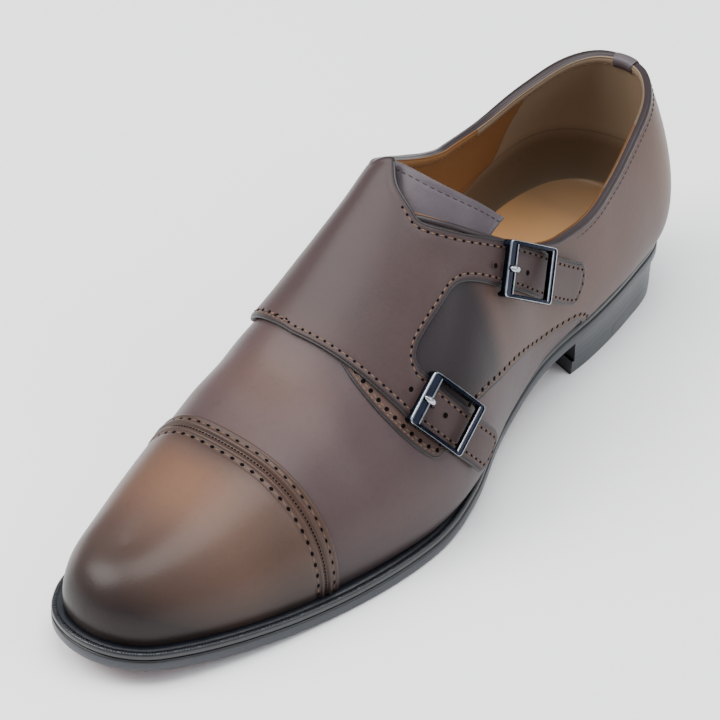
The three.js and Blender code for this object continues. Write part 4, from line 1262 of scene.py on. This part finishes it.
def sole_unit():
    """The sole's edge and underside, and the welt with its wheel marks."""
    side = [(-1.6, 0.02), (-0.7, 0.1), (-0.2, 0.42), (0.0, 1.0), (0.02, 2.4), (0.0, 3.8),
            (-0.12, 4.35), (-0.5, 4.68), (-1.3, 4.72)]
    sweep_ring("sole_edge", side, [SOLE_SIDE, SOLE_BAND], (0, 0, 0, 1, 1, 0, 0, 0))
    edge = Sides(inset_outline(EDGE, 1.5))
    s = edge.start + (edge.end - edge.start) * eased(260)
    share = eased(61)[None]
    inner, outer = edge.across(s, -1)[:, None], edge.across(s, 1)[:, None]
    across = inner + (outer - inner) * share
    p2 = np.stack([s[:, None] + 0 * share, across], -1)
    d = edge_distance(p2.reshape(-1, 2), SOLE_RING[::2]).reshape(p2.shape[:2])
    waist = smooth(s, 95, 125) * (1 - smooth(s, 150, 185))
    hollow = 0.5 * smooth(d, 6, 20) * waist[:, None]
    p = place(p2[..., 0], p2[..., 1], sole_rise(s)[:, None] + 0.02 + hollow)
    bottom = make_object("sole_bottom", p.reshape(-1, 3), grid_faces(*d.shape, flip=True),
                         SOLE_RED, True, {"rim": d.ravel(), "along": p2[..., 0].ravel()})
    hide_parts("outsole")

    top = [(-1.4, 4.9), (-0.75, 4.92), (-0.42, 5.1), (-0.25, 5.6), (-0.22, 6.6), (-0.38, 7.15),
           (-0.75, 7.48), (-1.1, 7.58), (-1.7, 7.6), (-2.0, 7.42), (-2.3, 7.4), (-2.6, 7.6),
           (-4.2, 7.62), (-9.5, 7.62)]
    welt = sweep_ring("welt_strip", top, WELT_INK)
    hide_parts("welt")
    wheel_inset, wheel_pitch = 1.25, 1.15
    line = SOLE_RING - SOLE_OUT * wheel_inset
    pts = place(line[:, 0], line[:, 1], sole_rise(line[:, 0]) + SOLE_T + WELT_T)
    i = walk(pts, wheel_pitch, True).astype(int) % len(pts)
    along = unit(np.roll(pts, -1, 0)[i] - pts[i])
    up = np.tile([0.0, 0.0, 1.0], (len(i), 1))
    beads("welt_wheel_marks", pts[i], np.cross(up, along), up, WELT_INK,
                  (0.62, 0.34, 0.16))


def sole_details():
    """Closed stitching channel, pegs across the waist, a blank plate and nails of the top lift."""
    inner = resample(inset_outline(EDGE, 9.0), 0.5)
    inner = inner[inner[:, 0] > 112]
    inner = np.roll(inner, -CHANNEL_START, 0)     # the row also runs across the waist
    line = place(inner[:, 0], inner[:, 1], sole_rise(inner[:, 0]) + 0.018)
    row_of_beads("sole_channel", line, np.tile(FACE_DOWN, (len(line), 1)), 3.2,
                         SOLE_CHANNEL, (1.3, 0.22, 0.015))
    share = np.linspace(0.06, 0.94, 60)
    edge = Sides(inset_outline(EDGE, 4.0))
    s = 112 + 13 * (1 - (2 * share - 1) ** 2)
    across = edge.across(s, -1) + (edge.across(s, 1) - edge.across(s, -1)) * share
    line = place(s, across, sole_rise(s) + 0.3)
    row_of_beads("waist_pegs", line, np.tile(FACE_DOWN, (60, 1)), 3.6, SOLE_CHANNEL,
                         (0.85, 0.75, 0.4))
    loop = np.array(rounded_rectangle(90.0, 96.0, -16.0, 10.0, 3.0))
    centre = loop.mean(0)
    rings = []
    for scale, drop in ((1.0, 0.3), (1.0, -0.35), (0.96, -0.5), (0.8, -0.5), (0.78, -0.4),
                        (0.0, -0.4)):
        q = centre + (loop - centre) * scale
        rings.append(place(q[:, 0], q[:, 1], sole_rise(q[:, 0]) + drop))
    p = np.stack(rings, 1)
    make_object("blank_plate", p.reshape(-1, 3),
                        grid_faces(*p.shape[:2], flip=True, close=True), PLATE, False)
    edge = Sides(inset_outline(EDGE, 7.0))
    s = np.tile(np.linspace(12, 66, 9), 2)
    side = np.repeat([1, -1], 9)
    across = np.where(side > 0, edge.across(s, 1), edge.across(s, -1))
    nails = place(s, across, np.full(18, 0.015))
    discs("top_lift_nails", nails, np.tile(FACE_DOWN, (18, 1)), BRASS, 0.8)


def breast_at(share):
    """Station of the heel's hollow front, at a share of its width."""
    return HEEL_BREAST - HEEL_HOLLOW * (1 - (2 * share - 1) ** 2)


def rubber_at(share):
    """Station at which the rubber of the top lift ends."""
    return 50 - 22 * (1 - np.abs(2 * share - 1) ** 1.6)


def zone_loop(inset, start, end, count=120):
    """Closed outline of the heel between two lines across it; None leaves the rounded back."""
    edge = Sides(inset_outline(EDGE, inset))
    share = np.linspace(0, 1, 40)

    def across_line(line):
        s = line(share)
        lo, hi = edge.across(s, -1), edge.across(s, 1)
        return np.stack([s, lo + (hi - lo) * share], 1)

    front = across_line(end)
    behind = across_line(start) if start else np.full((40, 2), edge.start)
    run = {}
    for side, last in ((1, -1), (-1, 0)):
        s = behind[last, 0] + (front[last, 0] - behind[last, 0]) * eased(count)
        run[side] = np.stack([s, edge.across(s, side)], 1)
    parts = [front[:-1], run[1][::-1][:-1], run[-1][:-1]]
    if start:
        parts.insert(2, behind[::-1][:-1])
    return np.vstack(parts)


def heel_block():
    """The stack of leather lifts, and the two parts of the top lift below it."""
    base = resample(zone_loop(1.0, None, breast_at), 0.8)
    out = -inward(base)
    rows = []
    for t in np.linspace(0, 1, 25):
        seams = 0.05 * np.exp(-(((t * 4) % 1 - 0.5) * 2 / 0.12) ** 2)
        q = base - out * (0.9 * t + 0.25 * math.sin(math.pi * t) + seams)
        top = sole_rise(q[:, 0]) + 0.02
        rows.append(place(q[:, 0], q[:, 1], top + (LIFT_TOP - top) * t))
    p = np.stack(rows, 1)
    piece = make_object("heel_block", p.reshape(-1, 3),
                        grid_faces(*p.shape[:2], flip=True, close=True), HEEL_INK)
    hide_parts("heel_stack")
    front = lambda share: rubber_at(share) + 0.25
    rings = ((1.9, 6.05), (1.92, 5.6), (2.05, 3.0), (2.2, 0.9), (2.35, 0.3), (2.7, 0.07),
             (3.2, 0.03))
    for name, start, end, material, node, slot in (
            ("top_lift_leather", front, breast_at, LIFT_RED, "top_lift_front", "heel_leather"),
            ("top_lift_rubber", None, rubber_at, RUBBER, "top_lift_rear", "heel_rubber")):
        wall = []
        for inset, z in rings:
            loop = zone_loop(inset, start, end, 80)
            wall.append(place(loop[:, 0], loop[:, 1], np.full(len(loop), z)))
        wall = np.stack(wall, 1)
        faces = grid_faces(*wall.shape[:2], flip=True, close=True)
        materials = np.resize((2, 2, 2, 1, 1, 1), len(faces)).tolist()
        wall = wall.reshape(-1, 3)
        flat, tri = triangulated(loop, [], 3.0)
        tread = place(flat[:, 0], flat[:, 1], np.full(len(flat), rings[-1][1]))
        for f in tri:
            a, b, c = (tread[k] for k in f[:3])
            facing_down = np.cross(b - a, c - a)[2] < 0
            faces.append([len(wall) + k for k in (f if facing_down else f[::-1])])
            materials.append(0)
        piece = make_object(name, np.vstack([wall, tread]), faces, [material, RIM, HEEL_INK], False,
                            {}, materials)
        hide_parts(node)


# ------------------------------------------------------------------ buckles
# Frame: length and width outside, thickness, height over the strap, and the widths of its bars.
LONG, WIDE, THICK, CLEAR = 25.0, 19.7, 2.0, 0.8
PRONG_BAR, END_BAR, SIDE_BAR = 4.4, 2.8, 1.5


def rounded_rectangle(left, right, low, high, radius):
    corners = [((right - radius, high - radius), 0), ((left + radius, high - radius), 90),
               ((left + radius, low + radius), 180), ((right - radius, low + radius), 270)]
    out = []
    for (cx, cy), start in corners:
        for w in np.radians(np.linspace(start, start + 90, 9)):
            out.append((cx + radius * math.cos(w), cy + radius * math.sin(w)))
    return resample(out, 1.0)


def seat(along, over, towards):
    """Origin on the strap and the buckle's own axes."""
    a = np.array([a_of(along)])
    p, da, dg, n = pattern_frame(a, np.array([over]))
    rate = float(a_of(along + 0.5) - a_of(along - 0.5))
    forward = unit(da[0] * rate * (towards[0] - along) + dg[0] * (towards[1] - over))
    side = unit(np.cross(n[0], forward))
    out = np.cross(forward, side)
    return p[0] + out * 2.2, forward, side, out


def tilted(axes, degrees, lift):
    """A seat turned up about its own side axis, so that the far bar stands off the shoe."""
    origin, forward, side, out = axes
    c, s = math.cos(math.radians(degrees)), math.sin(math.radians(degrees))
    return origin + out * lift, forward * c + out * s, side, out * c - forward * s


# Corner radius, where the deeper side bars begin, rise of the bent frame and how far it sinks.
BEVEL, SIDE_FROM, BOW, SINK = 1.5, 8.1, 0.5, 0.2
# Section of a bar, from the outer wall over its top to the inner wall: the share of its width and
# the height over its top, where None is the underside.
BAR_STEPS = ((0.0, None), (0.0, -0.45), (0.03, -0.15), (0.07, 0.0), (0.18, 0.0), (0.21, -0.1),
             (0.23, -0.42), (0.77, -0.42), (0.79, -0.1), (0.82, 0.0), (0.93, 0.0), (0.97, -0.15),
             (1.0, -0.45), (1.0, None))


def buckle(name, node, origin, forward, side, out, pill):
    """A frame with its prong and the holes of its strap; pill gives the slimmer prong."""

    def in_frame(local):
        return origin + local[..., :1] * forward + local[..., 1:2] * side + local[..., 2:] * out

    outer = rounded_rectangle(-LONG / 2, LONG / 2, -WIDE / 2, WIDE / 2, BEVEL)
    inner = np.clip(outer, (-LONG / 2 + PRONG_BAR, -WIDE / 2 + SIDE_BAR),
                    (LONG / 2 - END_BAR, WIDE / 2 - SIDE_BAR))
    rows = []
    for t, drop in BAR_STEPS:
        q = outer * (1 - t) + inner * t
        low = np.where(np.abs(q[:, 1]) > SIDE_FROM, -0.6, CLEAR)
        rows.append(np.column_stack([q, low if drop is None else low * 0 + CLEAR + THICK + drop]))
    local = np.stack(rows, 1)
    local[..., 2] += BOW * (1 - (2 * local[..., 0] / LONG) ** 2) - SINK
    # The flat rims beside the channels carry painted highlights in bright metal; the end bars'
    # channels are dark blue.
    metal, highlight_band, recess = 0, 1, 2
    materials = []
    for on_end in np.abs(outer[:, 0]) > LONG / 2 - 1.6:
        ring = [metal] * len(BAR_STEPS)
        for j in (2, 3, 9, 10) if on_end else (3,):
            ring[j] = highlight_band
        if on_end:
            ring[5] = ring[6] = recess
        materials += ring
    piece = make_object(name, in_frame(local).reshape(-1, 3),
                        grid_faces(*local.shape[:2], wrap=True, close=True),
                        [GUNMETAL, BRIGHT_METAL_AND_HIGHLIGHT, RECESS_DARK], False, {}, materials)
    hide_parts(node)
    x0 = -LONG / 2
    top = CLEAR + THICK + 0.05
    line = [(x0 + 0.9, top + 0.55), (x0 + 2.4, top + 0.75), (x0 + 4.2, top + 0.55),
            (x0 + 5.6, top - 0.5), (x0 + 6.6, top - 1.9), (x0 + 7.2, top - 3.2)]
    rounds = [0.55, 1.15, 1.15, 1.05, 0.95, 0.9] if pill else [0.7, 1.3, 1.15, 1.0, 0.9, 0.9]
    line = spline(line, False, 5)
    radius = np.interp(np.linspace(0, 5, len(line)), np.arange(6), rounds)
    w = np.linspace(0, 2 * math.pi, 14, endpoint=False)
    rows = [[(line[0, 0] - 0.45, 0, line[0, 1])] * len(w)]
    for q, t, r in zip(line, unit(np.gradient(line, axis=0)), radius):
        rows.append([(q[0] - t[1] * r * 0.8 * math.sin(k), r * math.cos(k),
                      q[1] + t[0] * r * 0.8 * math.sin(k)) for k in w])
    piece = make_object(name.replace("buckle", "prong"), in_frame(np.array(rows)).reshape(-1, 3),
                        grid_faces(len(rows), len(w), flip=True, wrap=True), BRIGHT_METAL_AND_HIGHLIGHT)
    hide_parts(node.replace("buckle", "prong"))
    # Dark discs of painted shade stand in for the strap's holes.
    spots = np.array([(x0 + 6.9, 0.0), (x0 + 13.3, -0.2), (x0 - 3.6, 0.1)])
    centre = origin + spots[:, :1] * forward + spots[:, 1:] * side + out * 0.3
    discs(name + "_strap_holes", centre, np.tile(out, (3, 1)), PIT_SHADE, [1.05, 0.95, 0.95], 16)


# ------------------------------------------------------------------ assembly
upper_shell()
toe_cap()
lateral_quarter()
flap()
collar()
heel_tab()
lining()
sock()
tongue()
sole_unit()
sole_details()
heel_block()
buckle("buckle_frame_upper", "buckle_upper", *tilted(seat(121.2, 64.3, (109.7, 72.8)), 9.5, 1.8),
       False)
buckle("buckle_frame_lower", "buckle_lower", *seat(174.2, 62.0, (170.6, 70.5)), True)

# ------------------------------------------------------------------ floor, light, camera
floor_mesh = bpy.data.meshes.new("floor")
floor_mesh.from_pydata([(-4, -4, 0), (4, -4, 0), (4, 4, 0), (-4, 4, 0)], [], [(0, 1, 2, 3)])
floor = bpy.data.objects.new("floor", floor_mesh)
bpy.context.scene.collection.objects.link(floor)
floor_mesh.materials.append(plain("pale_floor", rgb(250, 250, 250), rgb(253, 253, 253), 0.8, 3))

world = bpy.data.worlds.new("studio")
bpy.context.scene.world = world
world.use_nodes = True
world.node_tree.nodes["Background"].inputs["Color"].default_value = (0.93, 0.96, 1.0, 1)
world.node_tree.nodes["Background"].inputs["Strength"].default_value = 0.7


def area_light(name, location, size, power, colour=(1, 1, 1), towards=(0, 0, 0.04)):
    data = bpy.data.lights.new(name, "AREA")
    data.shape, data.size, data.size_y = "RECTANGLE", size[0], size[1]
    data.energy, data.color = power, colour
    lamp = bpy.data.objects.new(name, data)
    lamp.location = location
    aim = Vector(towards) - Vector(location)
    lamp.rotation_euler = aim.to_track_quat("-Z", "Y").to_euler()
    bpy.context.scene.collection.objects.link(lamp)


area_light("key", (-0.9, -0.9, 1.5), (1.2, 1.2), 42, (1.0, 0.98, 0.96))
area_light("fill", (1.4, 0.6, 1.2), (1.0, 1.0), 12, (0.92, 0.96, 1.0))
area_light("top", (0.1, 0.1, 1.9), (1.4, 1.4), 40)

azimuth, elevation, distance = math.radians(38.8), math.radians(38.34), 1.0
back = Vector((math.sin(azimuth) * math.cos(elevation), -math.cos(azimuth) * math.cos(elevation),
               math.sin(elevation)))
right = Vector((math.cos(azimuth), math.sin(azimuth), 0))
up = back.cross(right)
target = Vector((-0.0057, -0.00075, 0.045)) - right * 0.00675 - up * 0.0061
camera_data = bpy.data.cameras.new("camera")
camera_data.sensor_width = 36
camera_data.lens = 144.1
camera = bpy.data.objects.new("camera", camera_data)
camera.location = target + back * distance
camera.rotation_euler = (-back).to_track_quat("-Z", "Y").to_euler()
bpy.context.scene.collection.objects.link(camera)
bpy.context.scene.camera = camera
